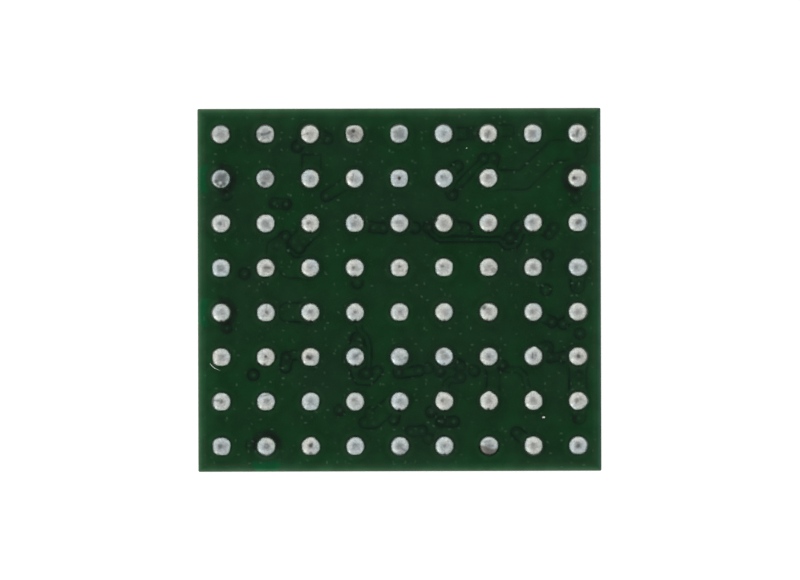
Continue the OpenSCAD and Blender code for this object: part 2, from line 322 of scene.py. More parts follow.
@dataclass(frozen=True)
class MaskFinish:
    """Green solder mask over copper and glass cloth.

    The colours over copper, gaps and bare laminate follow the distance to the copper's outline, which
    is above 0 over copper. A span holds the two distances, in millimetres, where an effect begins and
    where it is full. A painted highlight, a paler band along the rim, is added by the distance to the
    board's edge, through stops of (millimetres, colour). Painted light brightens the mask round the balls
    and over the bare laminate by the rim, and painted shadow darkens the wells round lone lands. Each
    weave is a turn in degrees, a scatter and a share left empty.
    """

    over_copper: Colour = (0.0052, 0.0462, 0.0128)
    over_copper_cool: Colour = (0.0082, 0.0400, 0.0154)
    over_gap: Colour = (0.0028, 0.0190, 0.0082)
    # Mask over bare laminate, lit with painted light that comes in through the board's edge.
    over_laminate: Colour = (0.0020, 0.0860, 0.0280)
    via_ring: Colour = (0.0075, 0.0185, 0.0120)
    # Colour of the painted shadow in the wells round lone lands.
    well_shadow: Colour = (0.0080, 0.0145, 0.0120)
    seam: Colour = (0.0190, 0.0330, 0.0105)
    # Painted light: a gain that brightens the mask round each ball, against the shade the balls cast.
    near_ball: Colour = (2.0, 1.42, 1.6)
    # Tint of the painted rim highlight on the far side.
    far_rim: Colour = (0.55, 0.62, 0.80)
    speck: Colour = (0.0450, 0.1050, 0.0560)
    # Painted highlight: a paler band along the board's edge, added to the colour.
    rim_stops: tuple[tuple[float, Colour], ...] = (
        (0.00, (0.0800, 0.1150, 0.0780)), (0.04, (0.0420, 0.0800, 0.0430)), (0.07, (0.0240, 0.0600, 0.0290)),
        (0.10, (0.0100, 0.0370, 0.0180)), (0.15, (0.0030, 0.0190, 0.0085)), (0.22, (0.0020, 0.0095, 0.0040)),
        (0.34, (0.0016, 0.0060, 0.0020)), (0.50, (0.0, 0.0, 0.0)),
    )
    gap: Span = (0.016, -0.016)
    gap_shoulder: Span = (0.06, 0.005)
    off_rim: Span = (0.16, 0.26)
    off_ball: Span = (0.27, 0.335)
    by_ball: Span = (0.38, 0.25)
    ring_outside: Span = (-0.14, -0.06)
    ring_inside: Span = (0.02, -0.03)
    over_plug: Span = (-0.03, 0.02)
    seam_outside: Span = (-0.05, 0.0)
    seam_inside: Span = (0.07, 0.01)
    pulled_back: float = 0.15
    off_copper: Span = (0.03, 0.10)
    near_rim: Span = (0.33, 0.10)
    dulled_rim: Span = (0.03, 0.10)
    cloth_pitch: float = 0.25
    dash: tuple[float, float] = (0.040, 0.025)
    weaves: tuple[tuple[float, float, float], ...] = ((0.0, 0.55, 0.6), (90.0, 0.5, 0.66), (38.0, 0.95, 0.78))
    roughness: float = 0.3

    def make(self, relief: bool) -> bpy.types.Material:
        """Builds the material.

        Args:
            relief: whether the mesh carries the distances to the copper's edges.

        Returns:
            The material.
        """
        g = Graph("solder_mask_relief" if relief else "solder_mask_plain")
        colour = g.mix(g.vary(g.noise(0.8, 2.0, 0.4)), self.over_copper, self.over_copper_cool)
        if relief:
            colour = self.over_foil(g, FilmPlaces.read(g), colour)
        for weave in self.weaves:
            colour = g.mix(self.dashes(g, *weave), colour, self.speck)
        colour = g.dimmed(colour, g.vary(g.noise(3.5, 2.0, 0.4), 0.9, 1.1))
        peel = g.bump(g.noise(9.0, 2.0), 0.0010)
        dust = g.bump(g.noise(60.0, 2.0), 0.0002, below=peel)
        rough = g.vary(g.noise(2.2), self.roughness - 0.05, self.roughness + 0.07)
        return g.finish(Base_Color=colour, Roughness=rough, Normal=dust, IOR=1.45, Specular_IOR_Level=0.15)

    def over_foil(self, g: Graph, at: FilmPlaces, colour: Socket) -> Socket:
        """Darkens the gaps and plated holes, paints shadow in the wells, gives bare laminate painted light,
        paints light round the balls and adds the painted rim highlight.

        Args:
            g: the material's graph.
            at: what the film carries.
            colour: the film's colour over copper.

        Returns:
            The new colour.
        """
        blotch = g.remap(g.noise(5.5, 2.0, 0.6), 0.35, 0.62, 0.45, 1.0)
        inner = g.remap(at.rim, *self.off_rim)
        bare = self.bare(g, at)
        colour = self.plated_holes(g, at, colour, blotch)
        tint = g.times(g.remap(at.thick, -1.0, 0.0, 0.92, 1.0), g.remap(at.thick, 0.0, 1.0, 1.0, 0.955))
        colour = g.mix(self.outlines(g, at, inner), g.dimmed(colour, tint), self.over_gap)
        # Painted shadow in the wells round lone lands.
        colour = g.mix(g.times(at.well_shadow, g.remap(blotch, 0.45, 1.0, 0.6, 0.95)), colour, self.well_shadow)
        colour = g.mix(self.seams(g, at, inner), colour, self.seam)
        # Bare laminate by the rim, brightened with painted light.
        colour = g.mix(bare, colour, self.over_laminate)
        # Painted light round the balls, weaker in the wells.
        lift = g.times(g.remap(at.foot, *self.by_ball), g.remap(at.well_shadow, 0.0, 0.6, 1.0, 0.15))
        colour = g.mix(lift, colour, g.tinted(colour, self.near_ball))
        # Adds the painted rim highlight.
        return g.mix(1.0, colour, self.rim_glow(g, at, bare), "ADD")

    def plated_holes(self, g: Graph, at: FilmPlaces, colour: Socket, blotch: Socket) -> Socket:
        """Lays a dark ring round each plated hole and a paler spot over its plug, some fainter than others.

        Args:
            g: the material's graph.
            at: what the film carries.
            colour: the film's colour so far.
            blotch: fine unevenness of the dark parts.

        Returns:
            The new colour.
        """
        patchy = g.times(g.remap(g.noise(1.9, 1.0), 0.38, 0.62, 0.3, 0.95), blotch,
                         g.remap(at.thick, 0.0, 1.0, 1.0, 0.6))
        ring = g.times(g.remap(at.plug, *self.ring_outside), g.remap(at.plug, *self.ring_inside), patchy)
        spot = g.times(g.remap(at.plug, *self.over_plug, 0.0, 0.34), patchy)
        return g.mix(spot, g.mix(ring, colour, self.via_ring), self.speck)

    def outlines(self, g: Graph, at: FilmPlaces, inner: Socket) -> Socket:
        """Dark lines over the etched gaps.

        A line is full over the gap and has a faint shoulder beside it. It fades under the balls, near
        the rim and in the quiet zones, and where the film is thick.

        Args:
            g: the material's graph.
            at: what the film carries.
            inner: 0 near the rim, 1 away from it.

        Returns:
            The lines' share of the colour.
        """
        line = g.calc("MAXIMUM", g.remap(at.etched, *self.gap),
                      g.remap(at.etched, *self.gap_shoulder, 0.0, 0.38))
        shown = g.calc("SUBTRACT", g.remap(at.foot, *self.off_ball, 0.3, 1.0), at.quiet)
        strength = g.calc("SUBTRACT", g.remap(g.noise(1.3, 1.0), 0.35, 0.65, 0.55, 1.0),
                          g.remap(at.thick, -1.0, 1.0, -0.36, 0.36, smooth=False))
        return g.times(line, inner, shown, strength)

    def seams(self, g: Graph, at: FilmPlaces, inner: Socket) -> Socket:
        """Broken brownish seams along the foil's own border.

        Args:
            g: the material's graph.
            at: what the film carries.
            inner: 0 near the rim, 1 away from it.

        Returns:
            The seams' share of the colour.
        """
        broken = g.calc("SUBTRACT", g.remap(g.noise(1.1, 1.0), 0.4, 0.6, 0.1, 0.6), inner)
        return g.times(g.remap(at.etched, *self.seam_outside), g.remap(at.etched, *self.seam_inside), broken)

    def bare(self, g: Graph, at: FilmPlaces) -> Socket:
        """Bare laminate by the rim, given painted light where light comes in through the board's edge.

        It is where the way to the nearest copper is longer than the way from the rim to the foil's
        pulled-back border.

        Args:
            g: the material's graph.
            at: what the film carries.

        Returns:
            Its share of the colour.
        """
        back = g.calc("MAXIMUM", g.calc("SUBTRACT", self.pulled_back, at.rim), 0.0)
        beyond = g.calc("SUBTRACT", g.times(at.etched, -1.0), back)
        return g.times(g.remap(beyond, *self.off_copper), g.remap(at.rim, *self.near_rim),
                       g.remap(at.thick, 0.0, 1.0, 1.0, 0.55))

    def rim_glow(self, g: Graph, at: FilmPlaces, bare: Socket) -> Socket:
        """The painted highlight that the rim adds, cooler on the far side and dull over bare laminate.

        Args:
            g: the material's graph.
            at: what the film carries.
            bare: share of bare laminate.

        Returns:
            The colour to add.
        """
        span = self.rim_stops[-1][0]
        stops = [(place / span, shade) for place, shade in self.rim_stops]
        glow = g.ramp(g.calc("DIVIDE", at.rim, span), stops)
        glow = g.mix(at.far, glow, g.tinted(glow, self.far_rim))
        dull = g.times(bare, g.remap(at.rim, *self.dulled_rim, 0.1, 0.8))
        return g.dimmed(glow, g.calc("SUBTRACT", 1.0, dull))

    def dashes(self, g: Graph, turn: float, scatter: float, empty: float) -> Socket:
        """Short pale dashes where the glass bundles cross.

        A dash fills an ellipse round a point of the cloth's lattice: it fades as the sum of the squares
        of the ways along and across, each over the dash's reach, goes past 1.

        Args:
            g: the material's graph.
            turn: the lattice's turn, in degrees.
            scatter: how far its points stray, 0 to 1.
            empty: share of the points without a dash.

        Returns:
            The dashes' share of the colour.
        """
        lattice = g.place(turn=turn)
        cloth = g.cells(1.0 / self.cloth_pitch, scatter, at=lattice, flat=True)
        off = g.node("VectorMath", {0: lattice, 1: cloth.outputs["Position"]}, operation="SUBTRACT")
        ways = g.node("SeparateXYZ", {0: off.outputs[0]}).outputs
        along, across = (g.calc("POWER", g.calc("DIVIDE", ways[k], self.dash[k]), 2.0) for k in (0, 1))
        spot = g.remap(g.calc("ADD", along, across), 1.3, 0.2)
        lit = g.remap(g.lot(cloth), empty, 1.0, 0.0, 0.9)
        return g.times(lit, g.remap(g.noise(1.2, 1.0), 0.4, 0.6, 0.35, 1.0), spot)


@dataclass(frozen=True)
class SolderFinish:
    """Reflowed tin alloy: dull, faintly crystalline, stained where it was marked.

    A ball's skirt value grows from 0 at its top towards 1 at its foot: up to the knee the colour takes a
    painted green reflection of the mask, and beyond it a painted dark green shade and reflection of the mask.
    """

    clean: Colour = (0.659, 0.660, 0.616)
    cool: Colour = (0.549, 0.612, 0.627)
    stained: Colour = (0.060, 0.064, 0.063)
    burnt: Colour = (0.142, 0.119, 0.105)
    shaded: Colour = (0.010, 0.062, 0.032)
    leafy: Colour = (0.962, 1.040, 0.982)
    knee: float = 0.35
    roughness: float = 0.19
    worn: float = 0.27
    metallic: float = 0.93

    def make(self) -> bpy.types.Material:
        """Builds the material from what the balls carry at their vertices.

        Returns:
            The material.
        """
        g = Graph("reflowed_solder")
        colour = g.mix(g.remap(g.noise(1.3), 0.32, 0.68), self.clean, self.cool)
        colour = g.dimmed(colour, g.remap(g.lot(g.cells(24.0, 1.0)), 0.0, 1.0, 0.84, 1.12, smooth=False))
        for mark, shade in (("stain", self.stained), ("burn", self.burnt)):
            colour = g.mix(g.remap(g.attribute(mark), 0.0, 1.0, smooth=False), colour, shade)
        skirt = g.attribute("skirt")
        # Painted reflection of the green mask on the ball's side, then painted shade and reflection at its
        # foot.
        colour = g.mix(g.remap(skirt, 0.0, self.knee), colour, g.tinted(colour, self.leafy))
        colour = g.mix(g.remap(skirt, self.knee, 1.0, 0.0, 0.85, smooth=False), colour, self.shaded)
        fine = g.bump(g.noise(45.0, 4.0, 0.65), 0.0012)
        lumps = g.bump(g.noise(15.0, 3.0, 0.6), 0.0035, below=fine)
        rough = g.vary(g.noise(16.0), self.roughness - 0.06, self.roughness + 0.1)
        rough = g.calc("ADD", rough, g.times(g.attribute("worn"), self.worn))
        rough = g.times(rough, g.remap(skirt, 0.30, 0.55, 1.0, 0.45))
        return g.finish(Base_Color=colour, Metallic=self.metallic, Roughness=rough, Normal=lumps)


@dataclass(frozen=True)
class MouldFinish:
    """Black moulded resin full of fine filler, with saw lines on its sides."""

    body: Colour = (0.011, 0.0112, 0.0125)
    filler: Colour = (0.060, 0.060, 0.062)
    cloudy: float = 1.5
    roughness: float = 0.62

    def make(self) -> bpy.types.Material:
        """Builds the material.

        Returns:
            The material.
        """
        g = Graph("mould_compound")
        cloud = g.vary(g.noise(1.4, 4.0, 0.6))
        colour = g.mix(cloud, self.body, tuple(c * self.cloudy for c in self.body))
        grain = g.cells(26.0, 1.0)
        speck = g.remap(grain.outputs["Distance"], 0.22, 0.1)
        colour = g.mix(g.times(speck, g.remap(g.lot(grain), 0.6, 0.95, 0.0, 0.8)), colour, self.filler)
        saw = g.noise(1.0, 3.0, 0.7, at=g.place((2.0, 2.0, 70.0)))
        level = g.node("SeparateXYZ", {"Vector": g.node("NewGeometry").outputs["Normal"]}).outputs["Z"]
        side = g.calc("SUBTRACT", 1.0, g.calc("ABSOLUTE", level))
        lines = g.bump(g.times(saw, side), 0.006)
        grit = g.bump(g.noise(38.0, 4.0, 0.6), 0.0035, below=lines)
        rough = g.vary(g.noise(6.0), self.roughness - 0.08, self.roughness + 0.08)
        return g.finish(Base_Color=colour, Roughness=rough, Normal=grit, Specular_IOR_Level=0.4)


@dataclass(frozen=True)
class LaminateFinish:
    """Sawn glass cloth and resin: bundles of fibre cut across, between layers of clear resin."""

    resin: Colour = (0.172, 0.194, 0.078)
    bundle: Colour = (0.262, 0.282, 0.135)
    ends: Colour = (0.480, 0.490, 0.330)
    layer: float = 0.13
    bundle_pitch: float = 0.25
    ragged: float = 0.016
    roughness: float = 0.55

    def make(self) -> bpy.types.Material:
        """Builds the material: flattened cells along each side give the cut bundles.

        Returns:
            The material.
        """
        g = Graph("glass_laminate")
        parts = g.node("SeparateXYZ", {0: g.place()}).outputs
        along = g.times(g.calc("ADD", parts["X"], parts["Y"]), self.layer / self.bundle_pitch)
        stray = g.remap(g.noise(16.0), 0.3, 0.7, -self.ragged, self.ragged, smooth=False)
        section = g.node("CombineXYZ", {0: g.calc("ADD", along, stray), 1: g.calc("ADD", parts["Z"], stray)})
        bundles = g.cells(1.0 / self.layer, 0.3, at=section.outputs[0], flat=True)
        core = g.remap(bundles.outputs["Distance"], 0.54, 0.22)
        colour = g.mix(core, self.resin, self.bundle)
        fibres = g.cells(110.0, 1.0).outputs["Distance"]
        colour = g.mix(g.times(g.remap(fibres, 0.42, 0.2, 0.0, 0.7), core), colour, self.ends)
        colour = g.dimmed(colour, g.vary(g.noise(3.0), 0.8, 1.1))
        saw = g.bump(g.noise(1.0, 3.0, 0.7, at=g.place((3.0, 3.0, 90.0))), 0.004)
        rough = g.vary(g.noise(9.0), self.roughness - 0.1, self.roughness + 0.15)
        return g.finish(Base_Color=colour, Roughness=rough, Normal=g.bump(fibres, 0.003, below=saw))


@dataclass(frozen=True)
class MetalFinish:
    """A thin metal, plated, etched or drawn, with a fine grain and some tarnish."""

    name: str
    bright: Colour
    tarnish: Colour
    roughness: float
    grain: float
    rise: float = 0.001

    def make(self) -> bpy.types.Material:
        """Builds the material.

        Returns:
            The material.
        """
        g = Graph(self.name)
        colour = g.mix(g.remap(g.noise(self.grain * 0.2, 4.0, 0.6), 0.35, 0.75), self.bright, self.tarnish)
        fine = g.noise(self.grain, 4.0, 0.6)
        rough = g.vary(fine, self.roughness - 0.08, self.roughness + 0.12)
        return g.finish(Base_Color=colour, Metallic=1.0, Roughness=rough, Normal=g.bump(fine, self.rise))


@dataclass(frozen=True)
class DieFinish:
    """Silicon: a ground back with swirl lines, and faint blocks of circuits."""

    ground: Colour = (0.150, 0.155, 0.170)
    circuit: Colour = (0.230, 0.200, 0.240)
    metallic: float = 0.6
    roughness: float = 0.28

    def make(self) -> bpy.types.Material:
        """Builds the material.

        Returns:
            The material.
        """
        g = Graph("silicon")
        blocks = g.node("TexBrick", {"Vector": g.place(), "Scale": 1.3, "Mortar Size": 0.012,
                                     "Color1": (0.2, 0.2, 0.2), "Color2": (0.8, 0.8, 0.8)})
        share = g.remap(g.node("RGBToBW", {"Color": blocks.outputs["Color"]}).outputs[0], 0.0, 1.0)
        colour = g.mix(share, self.ground, self.circuit)
        swirl = g.noise(1.0, 2.0, 0.6, at=g.place((60.0, 2.0, 2.0), turn=18.0))
        rough = g.vary(swirl, self.roughness - 0.08, self.roughness + 0.12)
        relief = g.bump(swirl, 0.0008)
        return g.finish(Base_Color=colour, Metallic=self.metallic, Roughness=rough, Normal=relief)


@dataclass(frozen=True)
class PasteFinish:
    """A cured paste or resin with a filler."""

    name: str
    body: Colour
    filler: Colour
    roughness: float
    grain: float

    def make(self) -> bpy.types.Material:
        """Builds the material.

        Returns:
            The material.
        """
        g = Graph(self.name)
        share = g.remap(g.cells(self.grain, 1.0).outputs["Distance"], 0.5, 0.15, 0.0, 0.8)
        colour = g.mix(share, self.body, self.filler)
        lumps = g.noise(self.grain * 0.4)
        rough = g.vary(lumps, self.roughness - 0.1, self.roughness + 0.1)
        return g.finish(Base_Color=colour, Roughness=rough, Normal=g.bump(lumps, 0.002))


@dataclass(frozen=True)
class FloorFinish:
    """Plain pale sheet that glows a little, as over a light table, and is clear from below."""

    shade: Colour = (0.62, 0.62, 0.62)
    cloudy: float = 0.985
    glow: float = 0.75

    def make(self) -> bpy.types.Material:
        """Builds the material.

        Returns:
            The material.
        """
        g = Graph("pale_floor")
        colour = g.mix(g.vary(g.noise(0.05, 2.0)), self.shade, tuple(c * self.cloudy for c in self.shade))
        made = g.finish(Base_Color=colour, Roughness=0.8, Specular_IOR_Level=0.0,
                        Emission_Color=(1.0, 1.0, 1.0), Emission_Strength=self.glow)
        clear = g.node("BsdfTransparent").outputs[0]
        sides = g.node("MixShader", {0: g.node("NewGeometry").outputs["Backfacing"],
                                     1: g.shader.outputs["BSDF"], 2: clear})
        g.feed(g.output.inputs["Surface"], sides.outputs[0])
        return made


def put_mesh(name: str, points: np.ndarray, faces: Faces, material: bpy.types.Material,
             values: Optional[dict[str, np.ndarray]] = None, smooth: bool = True) -> bpy.types.Object:
    """Makes an object of one mesh.

    Args:
        name: the piece's name.
        points: vertices in millimetres, one row each.
        faces: vertex numbers of each face.
        material: its finish.
        values: numbers carried at the vertices, by name.
        smooth: whether faces shade as one surface.

    Returns:
        The object, at the origin.
    """
    mesh = bpy.data.meshes.new(name)
    mesh.from_pydata((points * MM).tolist(), [], faces)
    mesh.polygons.foreach_set("use_smooth", np.full(len(faces), smooth))
    for key, numbers in (values or {}).items():
        carried = mesh.attributes.new(key, "FLOAT", "POINT")
        carried.data.foreach_set("value", numbers.astype(np.float32).ravel())
    mesh.materials.append(material)
    mesh.update()
    made = bpy.data.objects.new(name, mesh)
    bpy.context.scene.collection.objects.link(made)
    LOG.info("%s: %d vertices, %d faces", name, len(points), len(faces))
    return made


def settle(piece: bpy.types.Object) -> bpy.types.Object:
    """Fastens a piece to the body.

    Args:
        piece: the piece.

    Returns:
        The piece.
    """
    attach(piece, BODY)
    return piece


def grid_faces(rows: int, columns: int, wrap: bool = False, start: int = 0) -> np.ndarray:
    """Quads of a grid of vertices numbered row by row.

    Args:
        rows: rows of vertices.
        columns: vertices in a row.
        wrap: whether the last column joins the first.
        start: number of the first vertex.

    Returns:
        One row of four vertex numbers a face, anticlockwise when rows run away and columns run right.
    """
    row, column = np.meshgrid(np.arange(rows - 1), np.arange(columns if wrap else columns - 1), indexing="ij")
    right = (column + 1) % columns
    low, high = row * columns + start, (row + 1) * columns + start
    return np.stack([low + column, low + right, high + right, high + column], axis=-1).reshape(-1, 4)


def fan(tip: int, ring: np.ndarray) -> Faces:
    """Triangles from a tip to each step round a closed ring, in the ring's own sense."""
    return np.stack([np.full(len(ring), tip), ring, np.roll(ring, -1)], axis=-1).tolist()


def node_mesh(node: str) -> tuple[np.ndarray, np.ndarray]:
    """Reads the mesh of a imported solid.

    Args:
        node: the solid's name.

    Returns:
        Its vertices in millimetres, and the vertex numbers of its triangles.
    """
    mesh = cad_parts[node].data
    points = np.empty(len(mesh.vertices) * 3, np.float32)
    mesh.vertices.foreach_get("co", points)
    mesh.calc_loop_triangles()
    corners = np.empty(len(mesh.loop_triangles) * 3, np.int32)
    mesh.loop_triangles.foreach_get("vertices", corners)
    return points.reshape(-1, 3).astype(float) / MM, corners.reshape(-1, 3)


def node_box(node: str) -> tuple[np.ndarray, np.ndarray]:
    """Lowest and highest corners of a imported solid, in millimetres."""
    low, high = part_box(node)
    return np.array(low) / MM, np.array(high) / MM


def smooth_step(value: np.ndarray, low: float, high: float) -> np.ndarray:
    """0 at low, 1 at high, and an even S between them."""
    t = np.clip((value - low) / (high - low), 0.0, 1.0)
    return t * t * (3.0 - 2.0 * t)


@dataclass
class EdgeField:
    """Signed distance from the outline of a solid's upper face: above 0 on the face, below 0 beside it."""

    node: str
    reach: float = 0.3
    starts: np.ndarray = field(init=False)
    ends: np.ndarray = field(init=False)

    def __post_init__(self) -> None:
        """Finds the outline: the edges that only one triangle of the upper face uses."""
        points, triangles = node_mesh(self.node)
        top = points[:, 2].max()
        flat = triangles[(np.abs(points[triangles][:, :, 2] - top) < LEVEL_WITHIN).all(axis=1)]
        _, first, same = np.unique(np.round(points[:, :2], 5), axis=0, return_index=True, return_inverse=True)
        flat = same.reshape(-1)[flat]
        edges = np.sort(np.concatenate([flat[:, [0, 1]], flat[:, [1, 2]], flat[:, [2, 0]]]), axis=1)
        kept, uses = np.unique(edges, axis=0, return_counts=True)
        outline = kept[uses == 1]
        self.starts, self.ends = points[first][outline[:, 0], :2], points[first][outline[:, 1], :2]

    def on_grid(self, xs: np.ndarray, ys: np.ndarray) -> np.ndarray:
        """The field on a grid, worked out a row at a time.

        The distance to a segment is that to its nearest point, found by projecting onto it. A place is
        on the face when a line from it towards -X crosses the outline an odd number of times.

        Args:
            xs: columns, in millimetres.
            ys: rows, in millimetres.

        Returns:
            Distances, one row for each of ys, held within the reach.
        """
        distances = np.empty((len(ys), len(xs)))
        run = self.ends - self.starts
        length2 = np.maximum((run ** 2).sum(axis=1), 1e-12)
        low = np.minimum(self.starts[:, 1], self.ends[:, 1])
        high = np.maximum(self.starts[:, 1], self.ends[:, 1])
        for i, y in enumerate(ys):
            near = (low < y + self.reach) & (high > y - self.reach)
            a, r = self.starts[near], run[near]
            dx, dy = xs[:, None] - a[:, 0], y - a[:, 1]
            t = np.clip((dx * r[:, 0] + dy * r[:, 1]) / length2[near], 0.0, 1.0)
            gap = np.hypot(dx - t * r[:, 0], dy - t * r[:, 1]).min(axis=1, initial=self.reach)
            cut = (self.starts[:, 1] <= y) != (self.ends[:, 1] <= y)
            crossing = self.starts[cut, 0] + (y - self.starts[cut, 1]) * run[cut, 0] / run[cut, 1]
            inside = np.searchsorted(np.sort(crossing), xs) % 2 == 1
            distances[i] = np.where(inside, gap, -gap)
        return distances


@dataclass
class MaskFilm:
    """The solder mask of the ball side, as one surface that dips over every etched gap and plated hole.

    Lengths are in millimetres. A span holds the two distances between which something fades in. lone
    names the lands that stand alone, by (column, row). The film is thick about the board's corner
    towards +X and +Y, and thin about one place between that corner and the middle.
    """

    material: bpy.types.Material
    cell: float = 0.0283
    sag: float = 0.012
    sag_over: Span = (-0.02, 0.028)
    dimple: float = 0.006
    dimple_over: Span = (-0.03, 0.02)
    edge_fall: float = 0.008
    edge_width: float = 0.035
    corner_radius: float = 0.03
    peel: float = 0.0006
    plug_reach: float = 0.16
    foot_reach: float = 0.566
    lone: tuple[tuple[int, int], ...] = ((0, 1), (8, 1), (0, 4), (1, 7))
    well_band: Span = (0.40, 0.28)
    well_turn: Span = (-0.55, 0.15)
    quiet_land: Span = (0.47, 0.41)
    quiet_start: Span = (-0.1, 0.1)
    thick_corner: Span = (4.0, 1.8)
    thin: tuple[float, float] = (1.7, 1.15)
    thin_reach: tuple[float, float] = (1.6, 0.65)
    thin_fade: Span = (1.3, 0.5)
    far_rim: Span = (0.16, 0.12)
    far_mitre: Span = (-0.02, 0.0)
    underside_inset: float = 0.14
    underside_gap: float = 0.0002
    name: str = "solder_mask_film"

    def build(self) -> bpy.types.Object:
        """Builds the film.

        Its height is that of the mask's face, less a smooth step over each etched gap, each plug and
        the rim, and a faint swell. In the mask openings it drops to the copper.

        Returns:
            The piece.
        """
        low, high = node_box("ball_side_mask")
        copper_top = node_box("ball_side_copper")[1][2]
        steps = np.round((high - low) / self.cell).astype(int)
        xs, ys = (np.linspace(low[k], high[k], steps[k] + 1) for k in (0, 1))
        etched = EdgeField("ball_side_copper").on_grid(xs, ys)
        plug = EdgeField("via_fill", self.plug_reach).on_grid(xs, ys)
        x, y = np.meshgrid(xs, ys)
        rim = np.minimum(np.minimum(x - low[0], high[0] - x), np.minimum(y - low[1], high[1] - y))
        z = high[2] - self.sag * smooth_step(-etched, *self.sag_over)
        z -= self.dimple * smooth_step(plug, *self.dimple_over)
        z -= self.edge_fall * smooth_step(-rim, -self.edge_width, 0.0) + self.peel * self.waves(x, y)
        foot = np.full_like(z, self.foot_reach)
        for site in Balls.sites():
            foot = np.minimum(foot, np.hypot(x - site[0], y - site[1]))
        z = np.where(foot < Balls.opening() / 2, copper_top, z)
        x, y = self.rounded(x, y)
        values = {"etched": etched, "plug": plug, "rim": rim, "foot": foot}
        values |= self.lone_lands(x, y, low, high) | self.zones(x, y, rim, high)
        return self.shell(x, y, z, low, copper_top, values)

    def zones(self, x: np.ndarray, y: np.ndarray, rim: np.ndarray,
              high: np.ndarray) -> dict[str, np.ndarray]:
        """Marks where the film is thick or thin, and the rim of the far side, where the painted rim highlight
        is cooler.

        Thickness is a round patch about the board's corner, less an oval one about the thin place.

        Args:
            x, y: the grid, in millimetres.
            rim: distance to the board's edge.
            high: highest corner of the film's box.

        Returns:
            thick, -1 to 1, and far, 0 to 1, at each vertex.
        """
        thick = smooth_step(np.hypot(high[0] - x, high[1] - y), *self.thick_corner)
        away = np.hypot((x - self.thin[0]) / self.thin_reach[0], (y - self.thin[1]) / self.thin_reach[1])
        side = high[0] - x
        far = smooth_step(side, *self.far_rim) * smooth_step(rim - side, *self.far_mitre)
        return {"thick": thick - smooth_step(away, *self.thin_fade), "far": far}

    def lone_lands(self, x: np.ndarray, y: np.ndarray, low: np.ndarray,
                   high: np.ndarray) -> dict[str, np.ndarray]:
        """Marks the wide clearances of the lands that stand alone.

        The well is a painted shadow: a dark band round the half of a land that faces away from the board's
        edge. It is full where the angle from that way is small and fades as the angle passes a right angle.
        The quiet zone covers the land and its way out to the edge, where no outline shows.

        Args:
            x, y: the grid, in millimetres.
            low, high: corners of the film's box.

        Returns:
            well and quiet, 0 to 1 at each vertex.
        """
        well_shadow, quiet = np.zeros_like(x), np.zeros_like(x)
        columns = [site[0] for site in Balls.row_sites(0)]
        rows = [Balls.row_sites(row)[0][1] for row in range(len(Balls.ROWS))]
        for column, row in self.lone:
            middle = (columns[column], rows[row])
            dx, dy = x - middle[0], y - middle[1]
            away = np.hypot(dx, dy) + 1e-9
            gaps = (middle[0] - low[0], high[0] - middle[0], middle[1] - low[1], high[1] - middle[1])
            out = ((-1.0, 0.0), (1.0, 0.0), (0.0, -1.0), (0.0, 1.0))[int(np.argmin(gaps))]
            ahead, aside = dx * out[0] + dy * out[1], np.abs(dx * out[1] - dy * out[0])
            # Painted shadow: the dark band on the inner side of a lone land.
            band = smooth_step(away, *self.well_band) * smooth_step(-ahead / away, *self.well_turn)
            way_out = smooth_step(aside, *self.quiet_land) * smooth_step(ahead, *self.quiet_start)
            well_shadow = np.maximum(well_shadow, band)
            quiet = np.maximum(quiet, np.maximum(smooth_step(away, *self.quiet_land), way_out))
        return {"well_shadow": well_shadow, "quiet": quiet}

    @staticmethod
    def waves(x: np.ndarray, y: np.ndarray) -> np.ndarray:
        """A faint uneven swell, 0 to 1: two crossed sine products of unlike wavelengths."""
        return 0.5 + 0.25 * (np.sin(7.3 * x + 1.1 * y) * np.sin(5.9 * y) + np.sin(2.7 * x - 3.1 * y))

    def rounded(self, x: np.ndarray, y: np.ndarray) -> tuple[np.ndarray, np.ndarray]:
        """Draws the four corner vertices in onto the rounded corners.

        Args:
            x, y: the grid, in millimetres.

        Returns:
            The grid with its corners drawn in.
        """
        draw = self.corner_radius * (1.0 - math.sqrt(0.5))
        for i in (0, -1):
            for j in (0, -1):
                x[i, j] -= math.copysign(draw, x[i, j])
                y[i, j] -= math.copysign(draw, y[i, j])
        return x, y

    def shell(self, x: np.ndarray, y: np.ndarray, z: np.ndarray, low: np.ndarray, copper_top: float,
              values: dict[str, np.ndarray]) -> bpy.types.Object:
        """Closes the surface with sides, and an underside that steps up over the copper.

        Args:
            x, y, z: the upper surface.
            low: lowest corner of the film's box.
            copper_top: height of the copper's upper face.
            values: numbers at the upper surface's vertices.

        Returns:
            The piece.
        """
        rows, columns = x.shape
        number = np.arange(rows * columns).reshape(rows, columns)
        ring = np.concatenate([number[0, :-1], number[:-1, -1], number[-1, :0:-1], number[:0:-1, 0]])
        upper = np.stack([x, y, z], axis=-1).reshape(-1, 3)
        outer = upper[ring].copy()
        outer[:, 2] = low[2]
        inset = outer.copy()
        inset[:, :2] *= 1.0 - self.underside_inset / np.abs(outer[:, :2]).max(axis=0)
        raised = inset.copy()
        raised[:, 2] = copper_top + self.underside_gap
        total, count = rows * columns, len(ring)
        points = np.concatenate([upper, outer, inset, raised, [[0.0, 0.0, copper_top + self.underside_gap]]])
        rings = [ring, *(total + k * count + np.arange(count) for k in range(3))]
        faces = grid_faces(rows, columns).tolist()
        for above, below in zip(rings, rings[1:]):
            faces += np.stack([above, below, np.roll(below, -1), np.roll(above, -1)], axis=-1).tolist()
        faces += fan(len(points) - 1, rings[-1][::-1])
        extra = np.zeros(len(points) - total)
        kept = {key: np.concatenate([numbers.ravel(), extra]) for key, numbers in values.items()}
        made = put_mesh(self.name, points, faces, self.material, kept)
        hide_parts("ball_side_mask")
        return settle(made)


